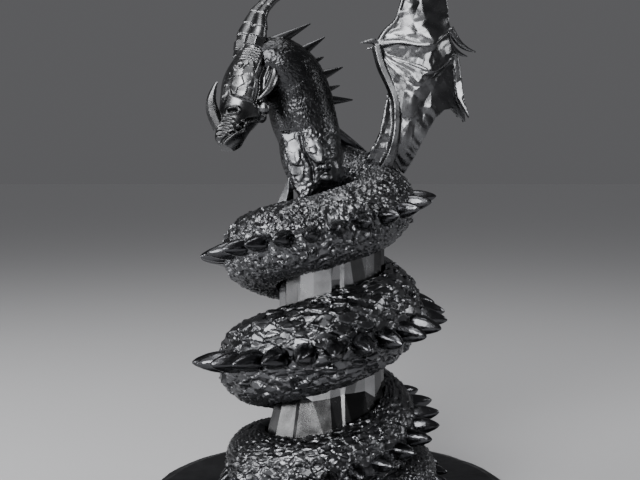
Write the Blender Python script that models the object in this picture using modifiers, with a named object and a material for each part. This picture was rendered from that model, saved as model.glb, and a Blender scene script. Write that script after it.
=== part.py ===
"""Dragon statue: one cast dragon, coiled three times round a faceted column on a low round base.

Blender metres, +Z up. The origin is the middle of the base's underside, and -Y is the front. The sizes
below are in millimetres, and MM turns them into metres as the meshes are made.
"""

import math

import bmesh
import bpy
from mathutils import Vector

MM = 0.001
FIT_GAP = 0.3

# Base
BASE_RADIUS = 133.0
BASE_HEIGHT = 17.0
BASE_EDGE_DROP = 5.0
BASE_EDGE_RUN = 11.0
BASE_SIDES = 60

# Column
COLUMN_RADIUS = 38.0
COLUMN_HEIGHT = 195.0
COLUMN_TOP = BASE_HEIGHT + COLUMN_HEIGHT
COLUMN_SIDES = 18
FOOT_RADIUS = 59.0
FOOT_MIDDLE_RADIUS = 50.0
FOOT_MIDDLE_HEIGHT = 32.0
FOOT_HEIGHT = 76.0

# Coils: how far the winding's axis is off the column's
COIL_SHIFT_X = -8.0
TAIL_LIFT = 0.3

# Winding of the body, tail first, at each of its angles from the front
WINDING_ANGLES = (
    -1160.0, -1120.0, -1080.0, -1035.0, -990.0, -900.0, -810.0, -765.0, -720.0, -630.0, -540.0, -450.0,
    -360.0, -270.0, -180.0, -90.0, 0.0, 45.0, 85.0)
# How far the row of spikes tilts up there, in degrees
SPIKE_ROW_ANGLES = (
    -25.0, -25.0, -20.0, -10.0, -10.0, -25.0, -36.0, -18.0, 4.0, 9.0, 4.0, 2.0, 2.0, -5.0, -5.0, -5.0, 3.0,
    7.0, 8.0)
# Height of the body's middle above the base, as a share of the column's height
WINDING_RISE_SHARES = (
    0.013, 0.031, 0.054, 0.074, 0.090, 0.105, 0.123, 0.126, 0.144, 0.254, 0.364, 0.469, 0.574, 0.674, 0.774,
    0.869, 0.957, 1.005, 1.051)
# Distance of the body's middle outside the column's face, and the body's radius
WINDING_OVERHANGS = (
    44.0, 41.0, 37.0, 32.5, 27.0, 17.0, 8.0, 7.5, 7.5, 5.0, 3.5, 3.0, 2.6, 3.0, 3.5, 4.0, 4.7, 4.7, 4.2)
WINDING_RADII = (
    2.0, 5.8, 10.0, 14.0, 16.5, 19.0, 20.5, 23.0, 24.5, 26.5, 28.5, 30.0, 31.0, 30.0, 28.0, 26.0, 24.5, 24.5,
    24.2)
WINDING_STEP_ANGLE = 7.5

# Where the winding ends at the sizes above. The forms below are stated for this and move with the end.
WINDING_END = Vector((34.0, -3.7, 222.2))

# Shoulders and neck: middle, direction of the back, and radius
UPPER_BODY = (
    ((25.0, 24.0, 232.0), (0.7, 0.5, 0.45), 23.5),
    ((6.0, 28.0, 241.0), (0.3, 0.6, 0.75), 23.0),
    ((-9.0, 16.0, 248.0), (0.3, 0.75, 0.6), 22.5),
    ((-14.0, 4.0, 257.0), (0.4, 0.9, 0.2), 21.5),
    ((-15.5, 4.0, 269.0), (0.4, 0.9, 0.0), 22.0),
    ((-19.5, 4.0, 282.0), (0.45, 0.85, 0.2), 23.0),
    ((-22.5, 4.0, 295.0), (0.5, 0.75, 0.3), 23.0),
    ((-27.0, 1.0, 307.0), (0.6, 0.55, 0.55), 22.0),
    ((-34.0, -4.0, 315.0), (0.4, 0.3, 0.85), 20.0),
    ((-43.0, -8.0, 318.0), (-0.1, -0.1, 0.95), 17.0),
    ((-50.0, -11.0, 317.0), (-0.3, -0.1, 0.95), 13.0),
)
UPPER_STEPS = 5
BODY_SIDES = 20

# Spikes along the coils
SPIKE_SPACING_ANGLE = 14.5
SPIKE_FIRST_ANGLE = 83.0
SPIKE_LAST_ANGLE = -1140.0
SPIKE_RAKE_ANGLE = 7.0
SPIKE_SINK_SHARE = 0.12
SPIKE_LENGTH_SHARE = 0.62
# Place along the spike and radius, as shares of its length and of the body's radius
SPIKE_TAPER_SHARES = ((0.0, 0.31), (0.40, 0.27), (0.75, 0.16), (1.0, 0.04))
SPIKE_SIDES = 7

# Spines down the neck: root on the neck's back, tip, and root radius
NECK_SPINES = (
    ((-37.0, -6.0, 333.0), (-13.9, -2.0, 345.5), 5.0),
    ((-20.0, 2.0, 327.0), (-4.2, 6.0, 337.5), 4.5),
    ((-13.0, 5.0, 320.0), (-5.0, 8.0, 324.0), 3.2),
    ((-7.0, 9.0, 311.0), (8.5, 13.0, 317.5), 4.6),
    ((-4.0, 11.0, 301.0), (6.5, 16.0, 305.0), 3.2),
    ((-2.0, 13.0, 294.0), (16.0, 18.0, 295.0), 4.6),
    ((2.0, 14.0, 272.0), (26.1, 20.0, 258.0), 5.6),
    ((3.0, 17.0, 262.0), (18.2, 20.0, 255.0), 4.4),
)
# Place along the spine and radius, as shares of its length and of its root radius
SPINE_TAPER_SHARES = ((0.35, 0.60), (1.0, 0.12))

# Breast, top to bottom: height, middle across, half width, middle in depth and half depth
BREAST = (
    (290.0, -19.0, 18.0, 4.0, 15.0),
    (280.0, -17.0, 19.5, 3.0, 17.5),
    (271.0, -15.5, 20.0, 1.0, 19.5),
    (262.0, -15.0, 20.5, 0.0, 20.5),
    (252.0, -14.5, 20.5, -1.0, 19.5),
    (244.0, -14.0, 18.5, -3.0, 17.5),
    (235.0, -15.5, 12.5, -7.0, 13.5),
    (226.0, -17.5, 5.0, -13.0, 8.0),
    (220.0, -17.5, 2.0, -15.0, 4.0),
)
BREAST_STEPS = 2
# Muscles and knobs on the breast: middle and half sizes
BREAST_MUSCLES = (
    ((-26.8, -13.5, 261.0), (5.6, 7.5, 11.5)),
    ((-11.8, -16.0, 258.5), (8.0, 7.5, 9.0)),
    ((-23.5, -12.5, 245.0), (6.0, 7.0, 8.5)),
    ((-3.8, -18.5, 247.3), (3.6, 3.6, 3.6)),
    ((-3.4, -17.0, 239.4), (4.4, 4.0, 3.2)),
    ((-3.0, -12.0, 244.0), (9.0, 6.5, 11.0)),
)
BREAST_SPUR = ((-31.5, -12.0, 221.0), (-29.5, -12.5, 230.0), (-29.0, -12.0, 239.5))
BREAST_SPUR_RADII = (6.0, 3.8, 0.8)

# Round limbs: sides of a thick and a thin one, steps between two stated points, and the thinnest radius
LIMB_SIDES = 8
THIN_LIMB_SIDES = 6
LIMB_STEPS = 4
SHORT_LIMB_STEPS = 2
LIMB_THINNEST_RADIUS = 0.5

# Head, along its own axis from the skull to the snout: distance along it, half width, height above the
# axis and depth below it.
HEAD_BACK = Vector((-50.0, -12.0, 315.0))
HEAD_SNOUT = Vector((-67.0, -38.0, 263.0))
HEAD_TOP_HINT = Vector((-0.93, -0.10, 0.36))
HEAD_SECTIONS = (
    (-12.1, 9.0, 10.0, 9.0),
    (-4.8, 13.0, 15.0, 11.0),
    (3.0, 15.0, 17.0, 12.5),
    (12.1, 16.0, 18.5, 13.5),
    (21.2, 15.5, 18.5, 13.5),
    (30.3, 13.5, 16.5, 14.0),
    (40.0, 11.0, 14.0, 13.5),
    (48.5, 9.5, 12.0, 10.5),
    (55.8, 9.0, 11.0, 9.0),
    (61.8, 8.0, 9.5, 8.0),
    (66.0, 4.5, 5.0, 4.5),
)
HEAD_SIDES = 60
HEAD_STEPS = 6
HEAD_THINNEST_HALF = 0.5
GROOVE_FADE = 2.0

# Grooves on both sides of the head: a line in distances along the head and above its axis, with the
# groove's depth and half width
HEAD_GROOVES = (
    (((-6.0, -3.0), (0.0, -3.9), (13.8, -3.6), (21.5, -6.2), (30.0, -7.0)), 5.5, 2.3),
    (((66.0, 4.6), (63.6, 4.2), (57.6, 0.3), (52.3, -5.0), (44.7, -6.1), (41.4, -10.1), (37.9, -14.7)), 2.6,
     1.2),
    (((12.4, 11.7), (13.4, 11.7)), 2.2, 2.7),
    (((42.2, 3.4), (43.6, 6.8)), 2.0, 1.6),
)

# Horns and cheeks: centre line and radii. The fin and the lobe are places along, beside and above the
# head's axis.
NEAR_HORN = (
    (-53.5, -14.0, 322.0), (-50.0, -13.0, 333.9), (-48.3, -13.0, 340.5), (-46.9, -12.0, 349.4),
    (-42.9, -11.0, 355.6), (-36.8, -10.0, 361.1), (-28.1, -8.0, 366.8), (-19.3, -6.0, 370.6))
FAR_HORN = (
    (-60.5, 0.0, 321.0), (-59.1, 3.0, 336.3), (-56.3, 4.0, 344.7), (-52.9, 5.0, 353.1),
    (-48.1, 6.0, 359.4), (-41.8, 7.0, 365.1), (-32.8, 9.0, 371.0), (-23.8, 11.0, 374.8))
HORN_RADII = (7.6, 6.6, 5.6, 4.2, 3.3, 2.6, 1.6, 0.8)
COLLAR_LENGTH = 6.0
COLLAR_RADIUS = 8.0
NOSE_HORN = (
    (-73.5, -36.0, 272.0), (-77.8, -36.0, 282.5), (-78.6, -37.0, 290.2), (-76.8, -38.0, 297.0),
    (-74.4, -39.0, 302.0))
NOSE_HORN_RADII = (4.6, 4.4, 3.4, 2.0, 0.8)
CHEEK_FIN = (
    (-4.0, 8.0, -9.0), (3.0, 9.5, -11.0), (10.1, 10.5, -12.6), (19.8, 11.0, -12.0), (28.7, 10.0, -8.0))
CHEEK_FIN_RADII = (0.8, 2.0, 3.0, 2.6, 0.8)
CHEEK_LOBE = (32.0, 6.5, -13.4)
CHEEK_LOBE_RADIUS = 4.6

# Near wing: bones from the root outward, each with the radii of its joints
WING_ROOT = (38.0, 14.0, 240.0)
WING_ARM = (
    (27.4, 9.0, 233.0), (37.8, 1.0, 248.4), (42.4, -1.0, 258.8), (45.1, -1.0, 269.9), (45.8, 0.0, 281.0),
    (45.1, 1.5, 293.5), (41.1, 3.0, 304.7), (35.5, 4.0, 317.2), (32.0, 5.0, 331.1))
WING_ARM_RADII = (6.0, 4.6, 4.2, 4.0, 4.0, 4.0, 4.0, 4.2, 4.2)
WING_CLAWS = (
    ((32.7, 5.0, 331.8), (29.8, 4.0, 333.9), (26.3, 3.0, 333.9), (20.0, 2.0, 332.7)),
    ((82.2, 4.0, 342.8), (88.5, 5.0, 333.8), (94.6, 4.0, 328.9), (100.7, 3.0, 326.7)),
)
WING_CLAW_RADII = (3.2, 2.4, 1.6, 0.8)
LEAD_FINGER = (
    (32.8, 5.0, 331.7), (38.2, 4.0, 341.2), (44.9, 2.0, 347.8), (48.2, 1.0, 357.8), (53.0, 2.0, 374.3),
    (63.1, 5.0, 397.2), (76.9, 8.0, 419.0))
MIDDLE_FINGER = (
    (34.1, 5.0, 332.4), (47.5, -1.0, 332.9), (60.7, -6.0, 330.2), (69.4, -8.0, 330.5), (75.5, -3.0, 335.4),
    (82.6, 4.0, 342.0))
REAR_FINGER = (
    (34.3, 5.0, 327.6), (39.6, 4.0, 323.4), (51.1, -1.0, 319.3), (60.9, -6.0, 315.3), (69.6, -7.0, 312.4),
    (78.6, -2.0, 317.8), (86.2, 4.0, 325.4))
WING_STRUT = ((86.2, 4.0, 325.4), (87.8, 4.0, 311.0), (89.5, 5.0, 295.1), (93.5, 7.0, 278.6))
WING_STRUT_RADII = (2.8, 3.8, 3.2, 1.4)
FINGER_RADII = (3.2, 2.4, 2.0, 1.8, 1.7, 1.6, 1.4)
ROOT_EDGE = ((47.0, 4.0, 246.4), (51.5, 7.0, 242.9))
FRONT_EDGE = (
    (19.0, 5.0, 241.0), (25.8, 0.0, 255.3), (32.6, -1.0, 267.1), (36.1, 0.0, 279.5), (38.2, 1.0, 290.0),
    (41.1, 3.0, 301.9))
WING_SHEET = 2.6
SHEET_STEPS = 12
LEAD_SCALLOP_SHARE = 0.05
MIDDLE_SCALLOP_SHARE = 0.06
REAR_SCALLOP_SHARE = 0.15
SHEET_SAG = 2.0
REAR_SHEET_SAG = -6.0

# Far wing: the near wing made smaller, moved back and across
FAR_WING_DEPTH = 62.0
FAR_WING_CURVE_SHARE = 0.15
FAR_WING_SHIFT = (7.0, 9.0)
FAR_WING_SIZE_SHARE = 0.95
FAR_SHOULDER = ((14.0, 26.0, 244.0), (30.0, 42.0, 243.0))
FAR_SHOULDER_RADII = (16.0, 13.0, 9.0)

# How finely the dragon's forms are joined, and how many triangles are kept
JOIN_GRAIN = 1.1
DRAGON_TRIANGLES = 8400


def clear_scene():
    """Remove whatever the file holds."""
    for thing in list(bpy.data.objects):
        bpy.data.objects.remove(thing)


def new_collection(name):
    """Make a collection and link it to the scene."""
    collection = bpy.data.collections.new(name)
    bpy.context.scene.collection.children.link(collection)
    return collection


def new_material(name, colour, roughness):
    """Make a metal material."""
    material = bpy.data.materials.new(name)
    material.use_nodes = True
    shader = material.node_tree.nodes["Principled BSDF"]
    shader.inputs["Base Color"].default_value = (*colour, 1.0)
    shader.inputs["Roughness"].default_value = roughness
    shader.inputs["Metallic"].default_value = 1.0
    return material


def new_object(name, mesh_maker, collection, material=None):
    """Make a mesh object from a bmesh that is in millimetres."""
    for vertex in mesh_maker.verts:
        vertex.co *= MM
    bmesh.ops.recalc_face_normals(mesh_maker, faces=mesh_maker.faces)
    mesh = bpy.data.meshes.new(name)
    mesh_maker.to_mesh(mesh)
    mesh_maker.free()
    made = bpy.data.objects.new(name, mesh)
    collection.objects.link(made)
    if material:
        mesh.materials.append(material)
    return made


def turned_object(name, profile, sides, collection, material=None):
    """Turn a profile of (radius, height) points, top to bottom, round the Z axis."""
    mesh_maker = bmesh.new()
    points = [mesh_maker.verts.new((radius, 0.0, height)) for radius, height in profile]
    for upper, lower in zip(points, points[1:]):
        mesh_maker.edges.new((upper, lower))
    for vertex in mesh_maker.verts:
        vertex.co *= MM
    mesh = bpy.data.meshes.new(name)
    mesh_maker.to_mesh(mesh)
    mesh_maker.free()
    made = bpy.data.objects.new(name, mesh)
    collection.objects.link(made)
    turn = made.modifiers.new("turn", "SCREW")
    turn.steps = sides
    turn.render_steps = sides
    turn.use_merge_vertices = True
    turn.merge_threshold = 0.00001
    turn.use_smooth_shade = False
    if material:
        mesh.materials.append(material)
    return made


def spline(points, steps):
    """Sample a smooth curve through tuples of numbers, with a number of steps between each two."""
    rows = [tuple(point) for point in points]
    padded = [rows[0]] + rows + [rows[-1]]
    sampled = []
    for index in range(len(rows) - 1):
        before, start, end, after = padded[index:index + 4]
        for step in range(steps):
            t = step / steps
            sampled.append(tuple(
                0.5 * (2 * b + (c - a) * t + (2 * a - 5 * b + 4 * c - d) * t * t
                       + (3 * b - a - 3 * c + d) * t ** 3)
                for a, b, c, d in zip(before, start, end, after)))
    sampled.append(rows[-1])
    return sampled


def skin(mesh_maker, rings):
    """Close a row of equal rings into one body."""
    loops = [[mesh_maker.verts.new(point) for point in ring] for ring in rings]
    count = len(loops[0])
    for near, far in zip(loops, loops[1:]):
        for side in range(count):
            following = (side + 1) % count
            mesh_maker.faces.new((near[side], near[following], far[following], far[side]))
    mesh_maker.faces.new(reversed(loops[0]))
    mesh_maker.faces.new(loops[-1])


def ring_round(middle, across, upright, sides, shape):
    """Points round a middle; shape gives the reach at an angle measured from upright."""
    points = []
    for side in range(sides):
        angle = 2 * math.pi * side / sides
        reach = shape(angle)
        points.append(middle + upright * (reach * math.cos(angle)) + across * (reach * math.sin(angle)))
    return points


def tangent_at(points, index):
    """Direction of a row of points at one of them."""
    ahead = points[min(index + 1, len(points) - 1)]
    behind = points[max(index - 1, 0)]
    return (ahead - behind).normalized()


def add_limb(mesh_maker, points, radii, sides=LIMB_SIDES, steps=LIMB_STEPS):
    """Add a tapering limb along a smooth line."""
    rows = spline([(*point, radius) for point, radius in zip(points, radii)], steps)
    middles = [Vector(row[:3]) for row in rows]
    side_hint = Vector((0.0, 1.0, 0.0))
    rings = []
    for index, row in enumerate(rows):
        along = tangent_at(middles, index)
        across = along.cross(side_hint).normalized()
        upright = across.cross(along).normalized()
        radius = max(row[3], LIMB_THINNEST_RADIUS)
        rings.append(ring_round(middles[index], across, upright, sides, lambda angle: radius))
    skin(mesh_maker, rings)


def add_lump(mesh_maker, middle, half_sizes):
    """Add an egg-shaped muscle."""
    made = bmesh.ops.create_icosphere(mesh_maker, subdivisions=3, radius=1.0)
    for vertex in made["verts"]:
        stretched = [value * half for value, half in zip(vertex.co, half_sizes)]
        vertex.co = Vector(middle) + Vector(stretched)


def winding_row(angle):
    """Body's middle, the direction of its back and its radius at an angle of the winding."""
    index = 0
    while angle > WINDING_ANGLES[index + 1]:
        index += 1
    before = max(index - 1, 0)
    after = min(index + 2, len(WINDING_ANGLES) - 1)
    share = (angle - WINDING_ANGLES[index]) / (WINDING_ANGLES[index + 1] - WINDING_ANGLES[index])
    values = []
    for column in (WINDING_OVERHANGS, WINDING_RISE_SHARES, WINDING_RADII, SPIKE_ROW_ANGLES):
        a, b, c, d = (column[place] for place in (before, index, index + 1, after))
        values.append(0.5 * (2 * b + (c - a) * share + (2 * a - 5 * b + 4 * c - d) * share ** 2
                             + (3 * b - a - 3 * c + d) * share ** 3))
    overhang, rise_share, radius, row_tilt = values
    turn = math.radians(angle)
    outward = Vector((math.sin(turn), -math.cos(turn), 0.0))
    middle = outward * (COLUMN_RADIUS + overhang)
    middle += Vector((COIL_SHIFT_X, 0.0, BASE_HEIGHT + TAIL_LIFT + rise_share * COLUMN_HEIGHT))
    tilt = math.radians(row_tilt)
    back = outward * math.cos(tilt) + Vector((0.0, 0.0, math.sin(tilt)))
    return middle, back, radius


def upper_shift():
    """How far the upper forms move to stay on the end of the winding."""
    return winding_row(WINDING_ANGLES[-1])[0] - WINDING_END


def body_rows():
    """Middle, back direction and radius all along the body, from the tail to the head."""
    first = WINDING_ANGLES[0]
    last = WINDING_ANGLES[-1]
    count = round((last - first) / WINDING_STEP_ANGLE)
    rows = []
    for index in range(count + 1):
        rows.append(winding_row(first + (last - first) * index / count))
    middle, back, radius = rows[-1]
    shift = upper_shift()
    stations = [(*middle, *back, radius)]
    stations += [(*(Vector(place) + shift), *direction, reach) for place, direction, reach in UPPER_BODY]
    for values in spline(stations, UPPER_STEPS)[1:]:
        rows.append((Vector(values[0:3]), Vector(values[3:6]).normalized(), values[6]))
    return rows


def add_body(mesh_maker):
    """Add the body from the tail's tip to the back of the head."""
    rows = body_rows()
    middles = [row[0] for row in rows]
    rings = []
    for index, (middle, back, radius) in enumerate(rows):
        along = tangent_at(middles, index)
        across = along.cross(back).normalized()
        upright = across.cross(along).normalized()
        rings.append(ring_round(middle, across, upright, BODY_SIDES, lambda angle: radius))
    skin(mesh_maker, rings)


def add_spikes(mesh_maker):
    """Add the row of raked cones along the outside of the coils."""
    angle = SPIKE_FIRST_ANGLE
    rake = math.radians(SPIKE_RAKE_ANGLE)
    while angle > SPIKE_LAST_ANGLE:
        middle, back, radius = winding_row(angle)
        ahead = winding_row(angle + 1.0)[0]
        along = (ahead - middle).normalized()
        point = back * math.cos(rake) - along * math.sin(rake)
        root = middle + back * (radius * (1.0 - 2 * SPIKE_SINK_SHARE))
        length = radius * (SPIKE_LENGTH_SHARE + 2 * SPIKE_SINK_SHARE)
        places = [root + point * (length * place) for place, _ in SPIKE_TAPER_SHARES]
        radii = [radius * width for _, width in SPIKE_TAPER_SHARES]
        add_limb(mesh_maker, places, radii, SPIKE_SIDES, SHORT_LIMB_STEPS)
        angle -= SPIKE_SPACING_ANGLE


def add_spines(mesh_maker):
    """Add the fan of spines down the back of the neck."""
    for root, tip, radius in NECK_SPINES:
        start = Vector(root)
        end = Vector(tip)
        places = [start - (end - start).normalized() * radius]
        radii = [radius]
        for place, width in SPINE_TAPER_SHARES:
            places.append(start.lerp(end, place))
            radii.append(radius * width)
        add_limb(mesh_maker, places, radii, THIN_LIMB_SIDES, SHORT_LIMB_STEPS)


def add_breast(mesh_maker):
    """Add the breast with its muscles, knobs and spur."""
    rings = []
    for height, across, half_width, back, half_depth in spline(BREAST, BREAST_STEPS):
        ring = []
        for side in range(BODY_SIDES):
            angle = 2 * math.pi * side / BODY_SIDES
            ring.append(Vector((across + half_width * math.cos(angle), back + half_depth * math.sin(angle),
                                height)))
        rings.append(ring)
    skin(mesh_maker, rings)
    for middle, half_sizes in BREAST_MUSCLES:
        add_lump(mesh_maker, middle, half_sizes)
    add_limb(mesh_maker, BREAST_SPUR, BREAST_SPUR_RADII, THIN_LIMB_SIDES)


def head_axes():
    """Forward, sideways and top directions of the head."""
    forward = (HEAD_SNOUT - HEAD_BACK).normalized()
    sideways = HEAD_TOP_HINT.cross(forward).normalized()
    top = forward.cross(sideways).normalized()
    return forward, sideways, top


def head_spot(along, beside, above):
    """Place at distances along, beside and above the head's axis."""
    forward, sideways, top = head_axes()
    return HEAD_BACK + forward * along + sideways * beside + top * above


def line_distance(x, y, line):
    """Distance of a place from a broken line."""
    nearest = math.inf
    for start, end in zip(line, line[1:]):
        run = Vector(end) - Vector(start)
        away = Vector((x, y)) - Vector(start)
        share = min(max(away.dot(run) / run.length_squared, 0.0), 1.0)
        nearest = min(nearest, (away - run * share).length)
    return nearest


def groove_depth(along, above):
    """Depth of the head's grooves at a place on its side."""
    depth = 0.0
    for line, deepest, half_width in HEAD_GROOVES:
        depth += deepest * math.exp(-(line_distance(along, above, line) / half_width) ** 2)
    return depth


def add_skull(mesh_maker):
    """Add the skull and snout, grooved on both sides."""
    rings = []
    for along, width, above, below in spline(HEAD_SECTIONS, HEAD_STEPS):
        ring = []
        for side in range(HEAD_SIDES):
            angle = 2 * math.pi * (side + 0.5) / HEAD_SIDES
            rise = math.cos(angle) * (above if math.cos(angle) > 0 else below)
            carved = groove_depth(along, rise) * min(1.0, GROOVE_FADE * abs(math.sin(angle)))
            half = max(width * abs(math.sin(angle)) - carved, HEAD_THINNEST_HALF)
            beside = math.copysign(half, math.sin(angle))
            ring.append(head_spot(along, beside, rise))
        rings.append(ring)
    skin(mesh_maker, rings)


def add_head(mesh_maker):
    """Add the skull, the horns with their collars, the cheek fins and the cheek lobes."""
    add_skull(mesh_maker)
    for horn in (NEAR_HORN, FAR_HORN):
        add_limb(mesh_maker, horn, HORN_RADII)
        start = Vector(horn[0])
        step = (Vector(horn[1]) - start).normalized() * COLLAR_LENGTH
        add_limb(mesh_maker, (start + step, start + 2 * step), (COLLAR_RADIUS, COLLAR_RADIUS))
    add_limb(mesh_maker, NOSE_HORN, NOSE_HORN_RADII)
    for side in (1.0, -1.0):
        fin = [head_spot(along, side * beside, above) for along, beside, above in CHEEK_FIN]
        add_limb(mesh_maker, fin, CHEEK_FIN_RADII)
        along, beside, above = CHEEK_LOBE
        add_lump(mesh_maker, head_spot(along, side * beside, above), (CHEEK_LOBE_RADIUS,) * 3)


def add_sheet(mesh_maker, grid, thickness):
    """Thicken a grid of points into a closed sheet."""
    rows = len(grid)
    columns = len(grid[0])
    sides = []
    for offset in (0.5 * thickness, -0.5 * thickness):
        side = []
        for row in range(rows):
            line = []
            for column in range(columns):
                down = grid[min(row + 1, rows - 1)][column] - grid[max(row - 1, 0)][column]
                over = grid[row][min(column + 1, columns - 1)] - grid[row][max(column - 1, 0)]
                normal = down.cross(over)
                if normal.length < 1e-6:
                    normal = Vector((0.0, 1.0, 0.0))
                line.append(mesh_maker.verts.new(grid[row][column] + normal.normalized() * offset))
            side.append(line)
        sides.append(side)
    front, back = sides
    for row in range(rows - 1):
        for column in range(columns - 1):
            for side in sides:
                mesh_maker.faces.new((side[row][column], side[row][column + 1],
                                      side[row + 1][column + 1], side[row + 1][column]))
    border = [(0, column) for column in range(columns - 1)]
    border += [(row, columns - 1) for row in range(rows - 1)]
    border += [(rows - 1, column) for column in range(columns - 1, 0, -1)]
    border += [(row, 0) for row in range(rows - 1, 0, -1)]
    for index, (row, column) in enumerate(border):
        next_row, next_column = border[(index + 1) % len(border)]
        mesh_maker.faces.new((front[row][column], front[next_row][next_column],
                              back[next_row][next_column], back[row][column]))


def along_curve(points, share):
    """Point at a share of a smooth curve's run."""
    rows = spline(points, SHEET_STEPS)
    place = share * (len(rows) - 1)
    index = min(int(place), len(rows) - 2)
    return Vector(rows[index]).lerp(Vector(rows[index + 1]), place - index)


def sheet_between(first, second, scallop, sag=SHEET_SAG):
    """Grid of points between two curves, with a hollowed free edge and a slack middle."""
    grid = []
    for row in range(SHEET_STEPS + 1):
        across = row / SHEET_STEPS
        slack = math.sin(math.pi * across)
        line = []
        for column in range(SHEET_STEPS + 1):
            along = column / SHEET_STEPS
            reach = along * (1.0 - scallop * slack)
            point = along_curve(first, reach).lerp(along_curve(second, reach), across)
            line.append(point + Vector((0.0, sag * slack * along, 0.0)))
        grid.append(line)
    return grid


def add_wing(mesh_maker, place):
    """Add one wing; place moves each point of the near wing to where it belongs."""
    bones = [(WING_ARM, WING_ARM_RADII), (WING_STRUT, WING_STRUT_RADII)]
    bones += [(claw, WING_CLAW_RADII) for claw in WING_CLAWS]
    bones += [(finger, FINGER_RADII) for finger in (LEAD_FINGER, MIDDLE_FINGER, REAR_FINGER)]
    for points, radii in bones:
        add_limb(mesh_maker, [place(Vector(point)) for point in points], radii)
    outer = (*REAR_FINGER, *WING_STRUT[1:])
    inner = (*reversed(WING_ARM[1:]), *ROOT_EDGE)
    sheets = (
        sheet_between(LEAD_FINGER, MIDDLE_FINGER, LEAD_SCALLOP_SHARE),
        sheet_between(MIDDLE_FINGER, REAR_FINGER, MIDDLE_SCALLOP_SHARE),
        sheet_between(outer, inner, REAR_SCALLOP_SHARE, REAR_SHEET_SAG),
        sheet_between(FRONT_EDGE, WING_ARM[1:-2], 0.0),
    )
    for grid in sheets:
        add_sheet(mesh_maker, [[place(point) for point in line] for line in grid], WING_SHEET)


def near_place(point):
    """Leave a point of the near wing where it is."""
    return point.copy()


def far_place(point):
    """Move a point of the near wing to the far one."""
    root = Vector(WING_ROOT)
    spread = (point - root) * FAR_WING_SIZE_SHARE
    across, up = FAR_WING_SHIFT
    return Vector((root.x + spread.x + across, FAR_WING_DEPTH + FAR_WING_CURVE_SHARE * point.y,
                   root.z + spread.z + up))


def add_far_shoulder(mesh_maker):
    """Add the shoulder that carries the far wing."""
    line = [Vector(point) for point in FAR_SHOULDER] + [far_place(Vector(WING_ROOT))]
    add_limb(mesh_maker, line, FAR_SHOULDER_RADII)


def cut_by(target, cutter):
    """Cut one object out of another."""
    cutter.hide_render = True
    cutter.display_type = "WIRE"
    cut = target.modifiers.new("cut for " + cutter.name, "BOOLEAN")
    cut.operation = "DIFFERENCE"
    cut.solver = "EXACT"
    cut.object = cutter


def build_dragon(collection, cutters, material):
    """Build the dragon as one casting, cut clear of the column and the base."""
    mesh_maker = bmesh.new()
    add_body(mesh_maker)
    add_spikes(mesh_maker)
    placed = len(mesh_maker.verts)
    add_spines(mesh_maker)
    add_breast(mesh_maker)
    add_head(mesh_maker)
    add_wing(mesh_maker, near_place)
    add_wing(mesh_maker, far_place)
    add_far_shoulder(mesh_maker)
    shift = upper_shift()
    for vertex in list(mesh_maker.verts)[placed:]:
        vertex.co += shift
    dragon = new_object("dragon", mesh_maker, collection, material)
    join = dragon.modifiers.new("join the forms", "REMESH")
    join.mode = "VOXEL"
    join.voxel_size = JOIN_GRAIN * MM
    bpy.context.view_layer.update()
    joined = dragon.evaluated_get(bpy.context.evaluated_depsgraph_get())
    faces = sum(len(polygon.vertices) - 2 for polygon in joined.data.polygons)
    thin = dragon.modifiers.new("keep the planes", "DECIMATE")
    thin.ratio = DRAGON_TRIANGLES / faces
    cut_by(dragon, turned_object("column clearance", column_profile(FIT_GAP), COLUMN_SIDES, cutters))
    cut_by(dragon, turned_object("base clearance", base_clearance_profile(), BASE_SIDES, cutters))
    return dragon


def column_profile(clearance):
    """Profile of the column, grown by a clearance."""
    grown = clearance / math.cos(math.pi / COLUMN_SIDES)
    bottom = BASE_HEIGHT + FIT_GAP
    return (
        (0.0, COLUMN_TOP + clearance),
        (COLUMN_RADIUS + grown, COLUMN_TOP + clearance),
        (COLUMN_RADIUS + grown, BASE_HEIGHT + FOOT_HEIGHT),
        (FOOT_MIDDLE_RADIUS + grown, BASE_HEIGHT + FOOT_MIDDLE_HEIGHT),
        (FOOT_RADIUS + grown, bottom - clearance),
        (0.0, bottom - clearance),
    )


def base_clearance_profile():
    """Profile of what the dragon is cut by where it lies on the base."""
    top = BASE_HEIGHT + FIT_GAP
    return (
        (0.0, top),
        (2.0 * BASE_RADIUS, top),
        (2.0 * BASE_RADIUS, -BASE_HEIGHT),
        (0.0, -BASE_HEIGHT),
    )


def build_column(collection, material):
    """Build the faceted column with its conical foot."""
    return turned_object("column", column_profile(0.0), COLUMN_SIDES, collection, material)


def build_base(collection, material):
    """Build the low round base."""
    profile = (
        (0.0, BASE_HEIGHT),
        (BASE_RADIUS - BASE_EDGE_RUN, BASE_HEIGHT),
        (BASE_RADIUS, BASE_HEIGHT - BASE_EDGE_DROP),
        (BASE_RADIUS, 0.0),
        (0.0, 0.0),
    )
    return turned_object("base", profile, BASE_SIDES, collection, material)


def main():
    """Build the statue."""
    clear_scene()
    parts = new_collection("dragon statue")
    cutters = new_collection("cutters")
    build_base(parts, new_material("base metal", (0.10, 0.10, 0.11), 0.42))
    build_column(parts, new_material("column metal", (0.26, 0.26, 0.28), 0.32))
    build_dragon(parts, cutters, new_material("dragon metal", (0.20, 0.20, 0.22), 0.34))


main()
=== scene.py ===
"""Dragon statue in dark gunmetal: the scaled dragon, the faceted column and the low round base.

Lengths inside the classes are in millimetres, and MM turns them into metres as the meshes are made. The
statue's front is -Y, and +Z is up.
"""

import logging
import math
from dataclasses import dataclass, field
from enum import Enum
from typing import Callable, Sequence

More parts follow.
